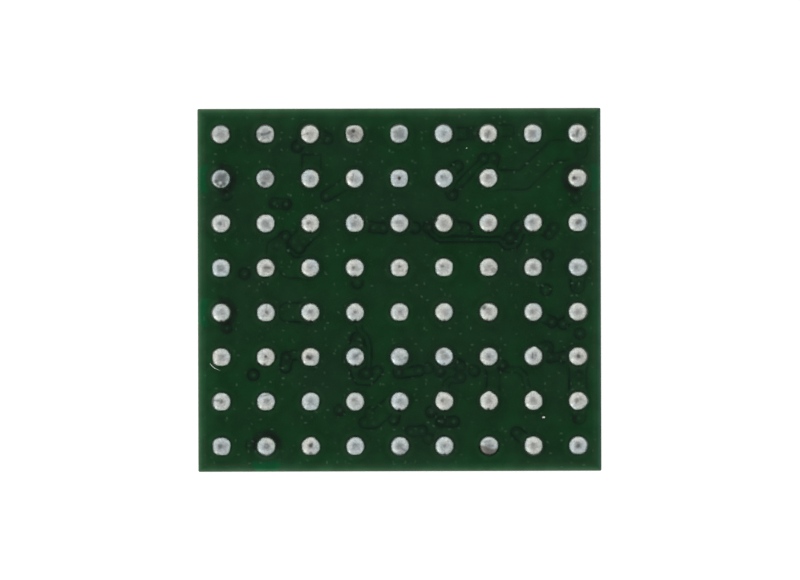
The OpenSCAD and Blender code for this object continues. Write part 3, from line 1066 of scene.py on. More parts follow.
class Balls:
    """Places and sizes of the solder balls, read from their solids. Lengths are in millimetres."""

    ROWS = "abcdefgh"

    @staticmethod
    def node(row: int) -> str:
        """The solid that holds a row of balls."""
        return f"solder_balls_row_{Balls.ROWS[row]}"

    @staticmethod
    def radius() -> float:
        """Radius of a ball."""
        low, high = node_box(Balls.node(0))
        return (high[1] - low[1]) / 2

    @staticmethod
    def opening() -> float:
        """Finds the diameter of a ball's seat in the mask.

        Returns:
            The reach along Y of the lowest circles of the first row.
        """
        points, _ = node_mesh(Balls.node(0))
        seat = points[points[:, 2] < points[:, 2].min() + LEVEL_WITHIN]
        return float(np.ptp(seat[:, 1]))

    @staticmethod
    def row_sites(row: int) -> list[tuple[float, float]]:
        """Finds the balls of a row: every pitch along its box where the solid has a vertex.

        Args:
            row: the row's number.

        Returns:
            The balls' centres.
        """
        low, high = node_box(Balls.node(row))
        other, _ = node_box(Balls.node(1 if row == 0 else row - 1))
        pitch, radius = abs(low[1] - other[1]), Balls.radius()
        count = int(round((high[0] - low[0] - 2 * radius) / pitch)) + 1
        xs = low[0] + radius + pitch * np.arange(count)
        points, _ = node_mesh(Balls.node(row))
        present = [np.abs(points[:, 0] - x).min() < radius / 2 for x in xs]
        return [(float(x), float(low[1] + high[1]) / 2) for x, here in zip(xs, present) if here]

    @staticmethod
    def sites() -> list[tuple[float, float]]:
        """Centres of all balls."""
        return [site for row in range(len(Balls.ROWS)) for site in Balls.row_sites(row)]


class Flaw(Enum):
    """What can mark a solder ball."""

    FLAT = "flat"
    PEAK = "peak"
    PIT = "pit"
    STAIN = "stain"
    STREAK = "streak"
    SHINE = "shine"
    BURN = "burn"
    SCORCH = "scorch"

    def at(self, *place: float, **sizes: float) -> "Mark":
        """A mark of this kind."""
        return Mark(self, *place, **sizes)


@dataclass(frozen=True)
class Mark:
    """One flaw, placed on the ball's disc as seen from above.

    x and y are shares of the ball's radius, towards +X and +Y. size is the flaw's spread as a share of
    the radius, and power its depth or darkness. angle is the way a streak or a scorch's edge runs, in
    degrees from +X, and length half a streak's length as a share of the radius.
    """

    flaw: Flaw
    x: float
    y: float
    size: float = 0.2
    power: float = 0.5
    angle: float = 0.0
    length: float = 0.42


def flaws() -> dict[tuple[int, int], tuple[Mark, ...]]:
    """The flaws of each ball, by (column, row) counted from the far left ball.

    Returns:
        Marks by site. A ball with none keeps only its slight unevenness.
    """
    flat, peak, pit, stain, streak, shine, burn, scorch = (kind.at for kind in Flaw)
    low, right = flat(0.0, -1.0, power=0.215), flat(1.0, -0.12, power=0.205)
    left, corner = flat(-1.0, -0.08, power=0.205), flat(0.75, -0.7, power=0.19)
    nick = stain(0.02, -0.74, 0.14, 0.75)
    return {
        (0, 0): (stain(0.0, 0.1, 0.85, 0.22), stain(-0.1, 0.6, 0.25, 0.35), pit(0.8, 0.15, 0.16, 0.05)),
        (1, 0): (streak(0.1, 0.05, 0.16, 0.62, 18.0, 0.5), stain(-0.3, -0.02, 0.17, 0.72),
                 stain(0.36, 0.17, 0.15, 0.72), stain(-0.6, -0.08, 0.3, 0.5),
                 streak(-0.25, -0.45, 0.12, 0.45, 30.0), stain(0.0, 0.1, 0.85, 0.2), low, right),
        (2, 0): (stain(-0.2, 0.05, 0.12, 0.55), streak(-0.5, -0.05, 0.05, 0.5, 20.0)),
        (3, 0): (stain(-0.1, 0.26, 0.2, 0.95), stain(-0.45, 0.1, 0.24, 0.65), stain(-0.25, -0.1, 0.2, 0.4),
                 low, left, burn(0.1, -0.05, 0.62, 0.34), flat(0.0, 1.0, power=0.21),
                 pit(0.75, -0.35, 0.2, 0.03)),
        (4, 0): (stain(0.0, 0.05, 0.62, 0.35), stain(0.1, 0.35, 0.25, 0.5), stain(0.2, -0.15, 0.35, 0.45),
                 stain(-0.35, -0.2, 0.2, 0.4), left, right),
        (5, 0): (stain(0.0, 0.0, 0.22, 0.2),),
        (6, 0): (streak(0.0, -0.05, 0.1, 0.5, 75.0), stain(-0.15, -0.1, 0.2, 0.35), nick),
        (7, 0): (stain(-0.12, 0.0, 0.35, 0.32), low, left, right),
        (8, 0): (streak(0.0, 0.05, 0.16, 0.6, 75.0), stain(-0.35, -0.2, 0.18, 0.6)),
        (0, 1): (stain(0.06, 0.08, 0.6, 0.66), stain(0.3, 0.3, 0.3, 0.72), stain(-0.4, -0.22, 0.22, 0.85),
                 stain(-0.25, -0.48, 0.16, 0.8), stain(0.0, -0.56, 0.18, 0.9),
                 stain(0.26, -0.42, 0.22, 0.8), shine(-0.06, -0.36, 0.15, 0.95)),
        (1, 1): (stain(0.1, 0.05, 0.72, 0.42), stain(-0.2, -0.42, 0.28, 0.72), stain(0.2, 0.3, 0.3, 0.5),
                 shine(0.35, -0.35, 0.25, 0.4), corner),
        (2, 1): (stain(0.1, 0.1, 0.3, 0.15),),
        (3, 1): (streak(-0.15, 0.05, 0.06, 0.5, 80.0), stain(-0.25, 0.0, 0.2, 0.35),
                 shine(-0.25, 0.0, 0.1, 0.8)),
        (4, 1): (burn(0.02, 0.04, 0.14, 1.0), stain(0.02, -0.1, 0.1, 0.7),
                 streak(-0.35, 0.0, 0.04, 0.3, 0.0), low, left, right),
        (5, 1): (stain(-0.18, 0.15, 0.15, 0.45), stain(0.1, 0.05, 0.22, 0.15), corner),
        (6, 1): (stain(0.0, 0.1, 0.26, 0.25), peak(0.45, 0.72, 0.3, 0.07), corner),
        (8, 1): (stain(-0.32, -0.02, 0.2, 0.85), stain(-0.15, -0.05, 0.16, 0.5),
                 stain(-0.4, -0.2, 0.12, 0.4)),
        (0, 2): (stain(-0.1, 0.0, 0.2, 0.55), peak(0.75, 0.35, 0.3, 0.05)),
        (1, 2): (stain(-0.05, 0.05, 0.3, 0.36), stain(-0.1, -0.2, 0.5, 0.2), right),
        (2, 2): (stain(-0.15, 0.0, 0.15, 0.5), stain(-0.45, 0.45, 0.15, 0.35), nick),
        (3, 2): (stain(0.08, 0.5, 0.14, 0.55), burn(0.1, 0.1, 0.5, 0.12), stain(-0.1, -0.1, 0.2, 0.2),
                 low),
        (4, 2): (streak(0.0, 0.05, 0.18, 0.28, 2.0), stain(0.3, -0.3, 0.2, 0.15)),
        (5, 2): (burn(0.1, 0.0, 0.6, 0.08), pit(-0.75, 0.35, 0.2, 0.08)),
        (6, 2): (stain(0.1, 0.0, 0.26, 0.25), nick),
        (7, 2): (stain(-0.1, 0.0, 0.24, 0.28), nick, corner),
        (8, 2): (stain(0.0, -0.02, 0.2, 0.62), stain(0.15, 0.1, 0.24, 0.5), low),
        (0, 3): (stain(-0.1, 0.0, 0.34, 0.3), low, right, left),
        (1, 3): (streak(0.2, 0.02, 0.14, 0.6, 0.0), stain(0.0, 0.0, 0.2, 0.4), low),
        (2, 3): (stain(-0.1, 0.1, 0.22, 0.14),),
        (3, 3): (stain(-0.12, 0.0, 0.15, 0.6), nick),
        (4, 3): (stain(0.0, 0.1, 0.14, 0.5), stain(0.75, -0.35, 0.24, 0.5), low, right),
        (5, 3): (stain(-0.15, 0.1, 0.14, 0.5), right, low, left),
        (6, 3): (stain(0.5, -0.25, 0.24, 0.45), burn(0.1, 0.1, 0.6, 0.08), low, corner),
        (7, 3): (stain(-0.05, 0.1, 0.26, 0.28), low),
        (8, 3): (stain(-0.25, -0.05, 0.35, 0.28), peak(0.75, 0.0, 0.35, 0.05), flat(0.0, 1.0, power=0.17)),
        (0, 4): (stain(0.1, 0.15, 0.24, 0.16), nick),
        (1, 4): (stain(0.08, 0.0, 0.15, 0.6), streak(0.05, 0.4, 0.09, 0.35, 80.0), low),
        (2, 4): (stain(0.0, 0.05, 0.22, 0.32), nick),
        (3, 4): (stain(0.0, 0.0, 0.15, 0.5), stain(0.02, -0.74, 0.18, 0.95)),
        (4, 4): (stain(0.05, 0.0, 0.22, 0.3), right, low),
        (5, 4): (corner, nick),
        (6, 4): (stain(-0.42, 0.4, 0.24, 0.75), stain(-0.05, 0.2, 0.25, 0.3),
                 stain(-0.15, -0.74, 0.14, 0.7)),
        (7, 4): (stain(-0.05, 0.05, 0.22, 0.25),),
        (8, 4): (stain(-0.05, -0.05, 0.25, 0.2),),
        (0, 5): (stain(0.1, 0.0, 0.26, 0.2), low, left),
        (1, 5): (stain(-0.02, 0.05, 0.14, 0.75), stain(-0.12, -0.68, 0.16, 0.75), corner),
        (2, 5): (stain(-0.24, 0.0, 0.2, 0.85), stain(-0.05, -0.08, 0.2, 0.85), stain(0.08, 0.0, 0.18, 0.6),
                 low, right),
        (3, 5): (streak(0.25, 0.2, 0.14, 0.55, 38.0), stain(-0.02, 0.0, 0.2, 0.3), nick),
        (4, 5): (stain(0.55, -0.15, 0.2, 0.5), stain(-0.55, 0.4, 0.18, 0.35),
                 stain(0.35, -0.5, 0.16, 0.35)),
        (5, 5): (stain(-0.2, 0.45, 0.26, 0.45), stain(0.0, -0.62, 0.12, 0.45),
                 stain(0.05, 0.0, 0.3, 0.25)),
        (6, 5): (stain(-0.05, 0.0, 0.18, 0.4), stain(-0.5, -0.5, 0.15, 0.4)),
        (7, 5): (streak(-0.08, 0.05, 0.08, 0.6, 88.0, 0.27), peak(0.12, 0.82, 0.26, 0.1),
                 stain(0.2, 0.1, 0.12, 0.3)),
        (8, 5): (stain(0.05, 0.0, 0.21, 0.75), streak(0.1, 0.0, 0.12, 0.3, 4.0),
                 stain(0.05, -0.1, 0.12, 0.4)),
        (0, 6): (streak(-0.42, 0.1, 0.09, 0.62, -4.0, 0.34), stain(0.0, 0.02, 0.17, 0.55),
                 pit(-0.85, 0.1, 0.2, 0.03), low),
        (1, 6): (streak(-0.1, 0.55, 0.10, 0.55, 10.0), stain(0.1, 0.1, 0.26, 0.25), corner, low),
        (2, 6): (stain(0.0, 0.1, 0.32, 0.18), right, low),
        (3, 6): (stain(-0.12, 0.12, 0.18, 0.35),),
        (4, 6): (stain(0.0, 0.0, 0.2, 0.26), stain(-0.05, -0.74, 0.16, 0.9)),
        (5, 6): (peak(-0.42, 0.74, 0.32, 0.1), stain(-0.2, 0.05, 0.17, 0.5),
                 stain(-0.45, 0.55, 0.14, 0.35)),
        (6, 6): (peak(0.03, 0.84, 0.26, 0.1), stain(-0.05, -0.7, 0.14, 0.9), stain(0.0, 0.0, 0.15, 0.25)),
        (7, 6): (peak(0.0, 0.84, 0.3, 0.11), stain(-0.05, 0.1, 0.2, 0.3)),
        (8, 6): (stain(-0.1, 0.05, 0.22, 0.4), stain(0.2, 0.1, 0.16, 0.25), peak(0.78, 0.0, 0.3, 0.05)),
        (0, 7): (stain(-0.12, 0.0, 0.22, 0.6), burn(0.0, 0.05, 0.6, 0.12), right, left, low),
        (1, 7): (stain(0.06, 0.0, 0.28, 0.5), shine(0.0, 0.02, 0.1, 0.6), stain(0.0, 0.05, 0.5, 0.12)),
        (2, 7): (stain(0.0, 0.05, 0.19, 0.85), stain(0.08, 0.15, 0.14, 0.7), stain(0.0, -0.66, 0.18, 0.65),
                 flat(0.8, 0.5, power=0.18), low),
        (3, 7): (stain(-0.05, 0.1, 0.24, 0.18), corner, low),
        (4, 7): (streak(0.3, -0.3, 0.14, 0.5, -32.0), stain(-0.1, 0.0, 0.35, 0.3),
                 stain(0.1, -0.6, 0.3, 0.3), corner),
        (5, 7): (stain(0.0, 0.0, 0.16, 0.4), nick),
        (6, 7): (scorch(0.0, -0.17, 0.13, 0.85, -8.0), streak(-0.15, 0.38, 0.12, 0.4, 12.0),
                 streak(0.1, -0.02, 0.1, 0.35, -8.0), stain(-0.2, -0.4, 0.5, 0.4)),
        (7, 7): (stain(-0.05, 0.05, 0.24, 0.24), peak(-0.6, 0.6, 0.25, 0.06)),
        (8, 7): (stain(0.0, -0.02, 0.2, 0.7), stain(0.0, 0.05, 0.35, 0.25), low),
    }


@dataclass
class SolderRow:
    """One row of reflowed balls, each a sphere pressed, nicked and peaked in its own way.

    around and down count a ball's vertices. Depths and unevenness are shares of the radius. Angles are
    in degrees, and those of the skirt are counted from the ball's top.
    """

    material: bpy.types.Material
    row: int
    around: int = 72
    down: int = 34
    crowding: tuple[float, float] = (0.28, 2.2)
    uneven: float = 0.012
    bias: float = 0.6
    waves: tuple[float, ...] = (1.5, 2.5, 4.0)
    fullness: float = 2.3
    knee: float = 0.35
    knee_angles: Span = (28.0, 44.0)
    skirt: float = 0.85
    skirt_angles: Span = (48.0, 60.0)
    worn_height: Span = (0.70, 0.98)
    seat_fade: float = 0.5
    corner: float = 0.45
    corner_most: float = 0.8
    corner_angle: float = 42.0
    corner_width: float = 20.0
    press_hardness: float = 40.0
    lowest_mark: float = -0.2
    streak_depth: float = 0.015
    mark_depth: float = 0.01
    scorch_wave: tuple[float, float, float] = (0.10, 4.0, 0.8)
    burn_fill: float = 1.6

    def build(self) -> bpy.types.Object:
        """Builds the row.

        Returns:
            The piece.
        """
        marks = flaws()
        first_x, second_x = (Balls.row_sites(0)[k][0] for k in (0, 1))
        shapes: list[np.ndarray] = []
        faces: Faces = []
        values: dict[str, list[np.ndarray]] = {"stain": [], "burn": [], "skirt": [], "worn": []}
        for x, y in Balls.row_sites(self.row):
            column = int(round((x - first_x) / abs(second_x - first_x)))
            chance = np.random.default_rng(SEED + SEEDS_A_ROW * self.row + column)
            shape, carried = self.ball(marks.get((column, self.row), ()), chance)
            faces += self.skin(sum(len(done) for done in shapes))
            shapes.append(shape + [x, y, 0.0])
            for key, numbers in carried.items():
                values[key].append(numbers)
        joined = {key: np.concatenate(parts) for key, parts in values.items()}
        name = f"balls_{Balls.ROWS[self.row]}"
        made = put_mesh(name, np.concatenate(shapes), faces, self.material, joined)
        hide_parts(Balls.node(self.row))
        return settle(made)

    def skin(self, first: int) -> Faces:
        """Faces of one ball: a cap round the top, bands down to the foot, and a closed foot.

        Args:
            first: number of the ball's first vertex.

        Returns:
            The faces, which point outwards.
        """
        n, rings = self.around, self.down + 1
        ring, top = first + np.arange(n), first + n * rings
        bands = grid_faces(rings, n, wrap=True, start=first)[:, ::-1]
        return fan(top, ring) + bands.tolist() + fan(top + 1, (ring + (rings - 1) * n)[::-1])

    def ball(self, marks: Sequence[Mark],
             chance: np.random.Generator) -> tuple[np.ndarray, dict[str, np.ndarray]]:
        """One ball about the vertical through its seat.

        Its surface is a sphere whose radius is scaled for each direction: pressed flats pull it in to a
        soft plane, and peaks and pits add a bell-shaped rise or fall. The upper half is filled out a
        little towards a square section. The scaling fades out towards the seat.

        Args:
            marks: its flaws.
            chance: source of its slight unevenness.

        Returns:
            Vertices in millimetres, and the stain, burn, skirt and worn values at each.
        """
        low, high = node_box(Balls.node(self.row))
        radius, seat = Balls.radius(), Balls.opening() / 2
        centre = high[2] - radius
        widest = math.pi - math.asin(seat / radius)
        step = np.arange(1, self.down + 1) / self.down
        share, power = self.crowding
        polar = widest * ((1.0 - share) * step + share * step ** power)
        turn = 2.0 * math.pi * np.arange(self.around) / self.around
        theta, phi = np.meshgrid(polar, turn, indexing="ij")
        theta, phi = np.append(theta.ravel(), 0.0), np.append(phi.ravel(), 0.0)
        way = np.stack([np.sin(theta) * np.cos(phi), np.sin(theta) * np.sin(phi), np.cos(theta)], axis=-1)
        full = self.fullness + self.corners(phi, marks)
        pillow = (np.sin(theta) ** full + np.abs(np.cos(theta)) ** full) ** (-1.0 / full)
        pillow = np.where(theta < math.pi / 2, pillow, 1.0)
        scale = 1.0 - self.uneven * (self.bias + self.swell(way, chance))
        stain, burn = np.zeros(len(way)), np.zeros(len(way))
        for mark in marks:
            scale, stain, burn = self.apply(mark, way, scale, stain, burn)
        fade = smooth_step(theta, widest, widest - self.seat_fade)
        box = 1.0 / np.maximum(np.sin(theta), np.abs(np.cos(theta)))
        scale = np.minimum((1.0 + (scale - 1.0) * fade) * pillow, box)
        shape = way * (radius * scale)[:, None] + [0.0, 0.0, centre]
        foot = np.stack([seat * np.cos(turn), seat * np.sin(turn), np.full(self.around, low[2])], axis=-1)
        shape = np.concatenate([shape[:-1], foot, shape[-1:], [[0.0, 0.0, low[2]]]])
        worn = smooth_step((shape[:, 2] - low[2]) / np.ptp(shape[:, 2]), *self.worn_height)
        return shape, {"stain": self.spread(stain, 0.0), "burn": self.spread(burn, 0.0),
                       "skirt": self.spread(self.skirting(theta), self.skirt), "worn": worn}

    def skirting(self, theta: np.ndarray) -> np.ndarray:
        """The skirt's value by the angle from the top: a step up to the knee, and one to the whole."""
        # The skirt carries the painted reflection and shade of the mask on the ball's lower side.
        knee = self.knee * smooth_step(theta, *np.radians(self.knee_angles))
        return knee + (self.skirt - self.knee) * smooth_step(theta, *np.radians(self.skirt_angles))

    def corners(self, phi: np.ndarray, marks: Sequence[Mark]) -> np.ndarray:
        """Extra fullness to each side of a pressed flat, where the metal went: two bells round the ball.

        A flat that faces a diagonal adds none.

        Args:
            phi: heading of each vertex.
            marks: the ball's flaws.

        Returns:
            What is added to the fullness at each vertex.
        """
        extra = np.zeros_like(phi)
        for mark in marks:
            if mark.flaw is not Flaw.FLAT or min(abs(mark.x), abs(mark.y)) > 0.5:
                continue
            for side in (-1.0, 1.0):
                heading = math.atan2(mark.y, mark.x) + side * math.radians(self.corner_angle)
                off = np.abs(np.angle(np.exp(1j * (phi - heading))))
                extra += self.corner * np.exp(-(off / math.radians(self.corner_width)) ** 2)
        return np.minimum(extra, self.corner_most)

    def spread(self, values: np.ndarray, at_foot: float) -> np.ndarray:
        """Values in the order of the vertices: the rings, the foot ring, the top and the foot's centre."""
        return np.concatenate([values[:-1], np.full(self.around, at_foot), values[-1:], [0.0]])

    def swell(self, way: np.ndarray, chance: np.random.Generator) -> np.ndarray:
        """Slight unevenness, about -1 to 1: three broad waves in chance directions.

        Args:
            way: unit directions of the vertices.
            chance: source of the directions and phases.

        Returns:
            The unevenness at each vertex.
        """
        wave = np.zeros(len(way))
        for count in self.waves:
            axis = chance.normal(size=3)
            axis /= np.linalg.norm(axis)
            wave += np.sin(count * math.pi * (way @ axis) + chance.uniform(0.0, 2.0 * math.pi)) / count
        return wave

    def pressed(self, mark: Mark, way: np.ndarray, scale: np.ndarray) -> np.ndarray:
        """Presses a flat into the ball: a soft minimum of its surface and a plane.

        Args:
            mark: the flat, whose power is its depth.
            way: unit directions of the vertices.
            scale: share of the radius at each vertex.

        Returns:
            The new scale.
        """
        side = np.array([mark.x, mark.y, 0.0])
        side /= np.linalg.norm(side)
        plane = (1.0 - mark.power) / np.maximum(way @ side, 0.05)
        hard = self.press_hardness
        return -np.log(np.exp(-hard * scale) + np.exp(-hard * plane)) / hard

    def apply(self, mark: Mark, way: np.ndarray, scale: np.ndarray, stain: np.ndarray,
              burn: np.ndarray) -> tuple[np.ndarray, np.ndarray, np.ndarray]:
        """Adds one flaw.

        Peaks, pits and stains are bells or flat-topped spots round the mark, a streak a band across it,
        and a scorch everything below its wavy edge.

        Args:
            mark: the flaw.
            way: unit directions of the vertices.
            scale: share of the radius at each vertex.
            stain: darkness at each vertex.
            burn: brown at each vertex.

        Returns:
            The new scale, stain and burn.
        """
        dx, dy = way[:, 0] - mark.x, way[:, 1] - mark.y
        away, upper = np.hypot(dx, dy) / mark.size, way[:, 2] > self.lowest_mark
        bell, spot = np.exp(-away ** 2) * upper, np.exp(-away ** 4) * upper
        cosine, sine = math.cos(math.radians(mark.angle)), math.sin(math.radians(mark.angle))
        along, across = dx * cosine + dy * sine, dy * cosine - dx * sine
        if mark.flaw is Flaw.FLAT:
            return self.pressed(mark, way, scale), stain, burn
        if mark.flaw is Flaw.PEAK:
            return scale + mark.power * bell, stain, burn
        if mark.flaw is Flaw.PIT:
            return scale - mark.power * bell, stain, burn
        if mark.flaw is Flaw.STREAK:
            line = np.exp(-(across / mark.size) ** 2 - (along / mark.length) ** 6)
            return scale - self.streak_depth * mark.power * line, np.maximum(stain, mark.power * line), burn
        if mark.flaw is Flaw.SHINE:
            return scale, stain * (1.0 - mark.power * spot), burn
        if mark.flaw is Flaw.SCORCH:
            rise, rate, phase = self.scorch_wave
            below = smooth_step(-across - rise * np.sin(rate * dx + phase), -mark.size, mark.size)
            return scale - self.mark_depth * below, stain, np.maximum(burn, mark.power * below)
        if mark.flaw is Flaw.BURN:
            return scale, stain, np.maximum(burn, mark.power * np.minimum(spot * self.burn_fill, 1.0))
        return scale - self.mark_depth * mark.power * bell, np.maximum(stain, mark.power * spot), burn


@dataclass
class Flecks:
    """What handling left on the mask: two grains of tin and a curled shaving beside a ball.

    Places and sizes are in millimetres, places from the middle of the chip, and the curl runs between
    two angles in degrees. A grain is (x, y, size); its dome and the curl are shares of their sizes.
    """

    material: bpy.types.Material
    sunk: float = 0.006
    grains: tuple[tuple[float, float, float], ...] = ((1.52, 3.18, 0.015), (3.23, -2.87, 0.032))
    dome_rings: int = 5
    dome_end: float = 1.25
    dome_height: float = 0.8
    dome_tip: float = 0.84
    dome_uneven: tuple[float, float] = (0.16, 40.0)
    curl_middle: tuple[float, float] = (-3.94, -1.42)
    curl_radius: float = 0.385
    curl_angles: tuple[float, float] = (212.0, 258.0)
    curl_width: float = 0.016
    curl_lift: float = 0.6
    curl_taper: float = 0.6
    curl_ends: Span = (0.03, 0.97)
    steps: int = 22
    around: int = 10

    def build(self) -> bpy.types.Object:
        """Builds the grains and the shaving as one piece.

        Returns:
            The piece.
        """
        floor = node_box("ball_side_mask")[1][2] - self.sunk
        parts = [self.grain(x, y, floor, size) for x, y, size in self.grains] + [self.shaving(floor)]
        faces: Faces = []
        first = 0
        for shape, skin in parts:
            faces += [[corner + first for corner in face] for face in skin]
            first += len(shape)
        shapes = np.concatenate([shape for shape, _ in parts])
        return settle(put_mesh("flecks", shapes, faces, self.material))

    def closed(self, rings: np.ndarray, first: Sequence[float],
               last: Sequence[float]) -> tuple[np.ndarray, Faces]:
        """Joins rings of vertices to a closed skin with a tip at each end.

        Args:
            rings: vertices by ring and place round it, turning anticlockwise as seen from the last tip.
            first: the tip before the first ring.
            last: the tip after the last ring.

        Returns:
            Vertices and faces.
        """
        count, n = rings.shape[:2]
        faces = grid_faces(count, n, wrap=True).tolist()
        faces += fan(count * n, np.arange(n)[::-1]) + fan(count * n + 1, (count - 1) * n + np.arange(n))
        return np.concatenate([rings.reshape(-1, 3), [first, last]]), faces

    def grain(self, x: float, y: float, z: float, size: float) -> tuple[np.ndarray, Faces]:
        """A low uneven dome: its rings shrink upwards as a quarter circle does.

        Args:
            x, y, z: the middle of its foot.
            size: its radius.

        Returns:
            Vertices and faces.
        """
        rise = np.linspace(0.0, self.dome_end, self.dome_rings)[:, None]
        turn = 2.0 * math.pi * np.arange(self.around)[None, :] / self.around
        swing, phase = self.dome_uneven
        reach = size * np.cos(rise) * (1.0 + swing * np.sin(2.0 * turn + phase * size))
        height = z + self.dome_height * size * np.sin(rise) + 0.0 * turn
        rings = np.stack([x + reach * np.cos(turn), y + reach * np.sin(turn), height], axis=-1)
        return self.closed(rings, (x, y, z), (x, y, z + self.dome_tip * size))

    def shaving(self, z: float) -> tuple[np.ndarray, Faces]:
        """A thin curl on an arc, thickest in its middle as half a sine wave is.

        Args:
            z: height of what it lies on.

        Returns:
            Vertices and faces.
        """
        share, ends = np.linspace(*self.curl_ends, self.steps), np.radians(self.curl_angles)
        heading = np.radians(self.curl_angles[0] + np.ptp(self.curl_angles) * share)[:, None]
        turn = -2.0 * math.pi * np.arange(self.around)[None, :] / self.around
        girth = 0.5 * self.curl_width * np.sin(math.pi * share)[:, None] ** self.curl_taper
        reach = self.curl_radius + girth * np.cos(turn)
        x, y = self.curl_middle
        middle = z + self.curl_lift * self.curl_width
        height = middle + girth * np.sin(turn) + 0.0 * heading
        rings = np.stack([x + reach * np.cos(heading), y + reach * np.sin(heading), height], axis=-1)
        out = self.curl_radius
        tips = [(x + out * math.cos(angle), y + out * math.sin(angle), middle) for angle in ends]
        return self.closed(rings, *tips)


class Dressing:
    """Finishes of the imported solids, among them those that a finer piece stands for."""

    NODES: dict[str, Slot] = {
        "mould_cap": Slot.MOULD, "silicon_die": Slot.SILICON, "die_attach": Slot.ADHESIVE,
        "bond_pads": Slot.PAD, "bond_wires_north": Slot.WIRE, "bond_wires_south": Slot.WIRE,
        "bond_wires_east": Slot.WIRE, "bond_wires_west": Slot.WIRE, "die_side_mask": Slot.MASK,
        "die_side_copper": Slot.COPPER, "laminate_core": Slot.LAMINATE, "via_barrels": Slot.COPPER,
        "via_fill": Slot.RESIN, "ball_side_copper": Slot.COPPER, "ball_side_mask": Slot.MASK,
        **{Balls.node(row): Slot.SOLDER for row in range(len(Balls.ROWS))},
    }

    def __init__(self) -> None:
        """Builds each finish once."""
        self.finishes: dict[Slot, bpy.types.Material] = {
            Slot.MOULD: MouldFinish().make(),
            Slot.SILICON: DieFinish().make(),
            Slot.ADHESIVE: PasteFinish("die_adhesive", (0.42, 0.38, 0.29), (0.62, 0.61, 0.58),
                                       0.5, 40.0).make(),
            Slot.PAD: MetalFinish("pad_metal", (0.76, 0.77, 0.78), (0.6, 0.6, 0.6), 0.3, 60.0).make(),
            Slot.WIRE: MetalFinish("bond_wire", (0.86, 0.60, 0.22), (0.78, 0.50, 0.16), 0.24, 90.0).make(),
            Slot.MASK: MaskFinish().make(relief=False),
            Slot.COPPER: MetalFinish("copper_foil", (0.80, 0.42, 0.26), (0.42, 0.19, 0.11), 0.4, 30.0).make(),
            Slot.LAMINATE: LaminateFinish().make(),
            Slot.RESIN: PasteFinish("via_resin", (0.50, 0.48, 0.38), (0.7, 0.68, 0.6), 0.5, 60.0).make(),
            Slot.SOLDER: SolderFinish().make(),
        }

    def dress(self) -> None:
        """Puts the finishes on the solids."""
        for node, slot in self.NODES.items():
            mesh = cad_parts[node].data
            mesh.materials.clear()
            mesh.materials.append(self.finishes[slot])
            LOG.info("%s wears %s", node, slot.value)


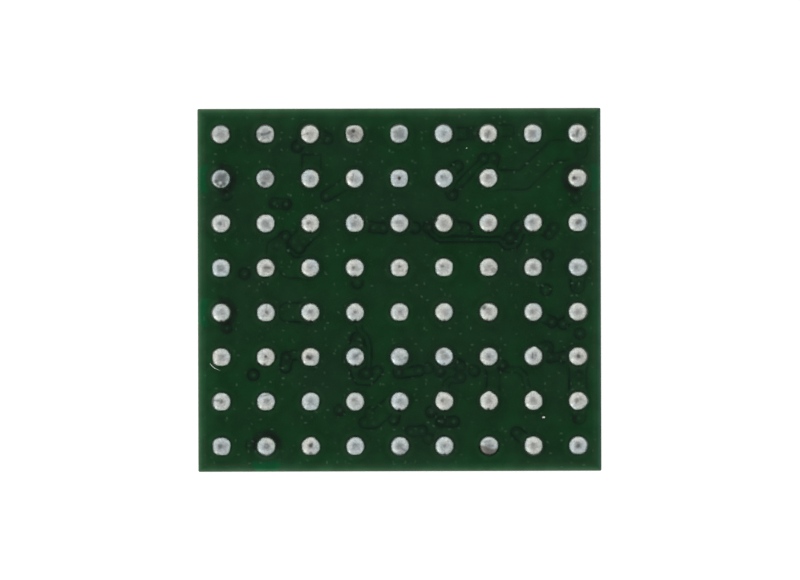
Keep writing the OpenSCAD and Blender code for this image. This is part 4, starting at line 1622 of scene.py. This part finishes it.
@dataclass
class Studio:
    """Pale floor, tent of soft light with a hole over the chip, one soft lamp, and the camera.

    Lengths are in millimetres, and angles in degrees. scale is how large a millimetre of the mask is
    drawn where the whole view is image_width wide. clip holds shares of the camera's distance. The
    sky's heights are those of a direction, from -1, straight down, to 1, straight up.
    """

    lens: float = 800.0
    sensor: float = 36.0
    image_width: int = 800
    scale: float = 44.54
    roll: float = 0.163
    aim: tuple[float, float] = (0.0133, -0.0031)
    clip: Span = (0.1, 20.0)
    tent: float = 1.0
    hole: float = 0.33
    hole_angle: float = 46.0
    lean: tuple[float, float] = (-0.12, 0.12)
    skirting: float = 0.12
    skirting_height: Span = (-0.12, 0.0)
    ground: float = 0.65
    ground_height: Span = (-0.45, -0.9)
    lamp_power: float = 0.0108
    lamp_size: float = 60.0
    lamp_place: tuple[float, float, float] = (-82.0, -72.0, 34.0)
    floor_half: float = 400.0
    floor_gap: float = 0.004

    def build(self) -> None:
        """Makes the floor, the light and the camera."""
        self.floor()
        self.light()
        self.camera()
        bpy.context.scene.view_settings.view_transform = "Standard"

    def floor(self) -> None:
        """Makes a square floor just below the chip, which takes no part in the chip's light."""
        square = ((-1.0, -1.0), (1.0, -1.0), (1.0, 1.0), (-1.0, 1.0))
        corners = np.array([[self.floor_half * x, self.floor_half * y, -self.floor_gap] for x, y in square])
        floor = put_mesh("floor", corners, [[0, 1, 2, 3]], FloorFinish().make(), smooth=False)
        floor.visible_diffuse = floor.visible_glossy = floor.visible_shadow = False

    def light(self) -> None:
        """Makes a sky that is dark overhead, bright round the sides and dimmer below, and a soft lamp."""
        world = bpy.data.worlds.new("tent")
        bpy.context.scene.world = world
        sky = Wiring(world)
        way = sky.node("TexCoord").outputs["Generated"]
        up = sky.node("SeparateXYZ", {0: way}).outputs["Z"]
        over = sky.remap(up, math.cos(math.radians(self.hole_angle)), 1.0, self.tent, self.hole)
        side = sky.node("VectorMath", {0: way, 1: (*self.lean, 0.0)}, operation="DOT_PRODUCT")
        over = sky.calc("MULTIPLY_ADD", side.outputs["Value"], over, over)
        over = sky.times(over, sky.remap(up, *self.skirting_height, self.skirting, 1.0))
        below = sky.remap(up, *self.ground_height, 0.0, self.ground - self.skirting)
        total = sky.calc("ADD", over, below)
        back = sky.node("Background", {"Color": (1.0, 1.0, 1.0), "Strength": total}).outputs[0]
        sky.node("OutputWorld", {"Surface": back})
        lamp = bpy.data.lights.new("soft_lamp", "AREA")
        lamp.shape = "DISK"
        lamp.size = self.lamp_size * MM
        lamp.energy = self.lamp_power
        holder = bpy.data.objects.new("soft_lamp", lamp)
        holder.location = Vector(self.lamp_place) * MM
        holder.rotation_euler = (-holder.location).to_track_quat("-Z", "Y").to_euler()
        bpy.context.scene.collection.objects.link(holder)

    def camera(self) -> None:
        """Makes a camera that looks straight down; its distance gives the wanted scale at the mask."""
        data = bpy.data.cameras.new("camera")
        data.lens = self.lens
        data.sensor_width = self.sensor
        distance = self.lens / self.sensor * self.image_width / self.scale
        seat = node_box("ball_side_mask")[1][2]
        data.clip_start, data.clip_end = (distance * share * MM for share in self.clip)
        holder = bpy.data.objects.new("camera", data)
        holder.location = Vector((*self.aim, seat + distance)) * MM
        holder.rotation_euler = (0.0, 0.0, -math.radians(self.roll))
        bpy.context.scene.collection.objects.link(holder)
        bpy.context.scene.camera = holder


def main() -> None:
    """Builds the studio and the pieces in order."""
    logging.basicConfig(level=logging.INFO, format="%(name)s: %(message)s")
    Studio().build()
    dressing = Dressing()
    dressing.dress()
    MaskFilm(MaskFinish().make(relief=True)).build()
    for row in range(len(Balls.ROWS)):
        SolderRow(dressing.finishes[Slot.SOLDER], row).build()
    Flecks(MetalFinish("tin_grain", (0.93, 0.94, 0.92), (0.84, 0.86, 0.84), 0.5, 60.0).make()).build()


if __name__ == "__main__":
    main()
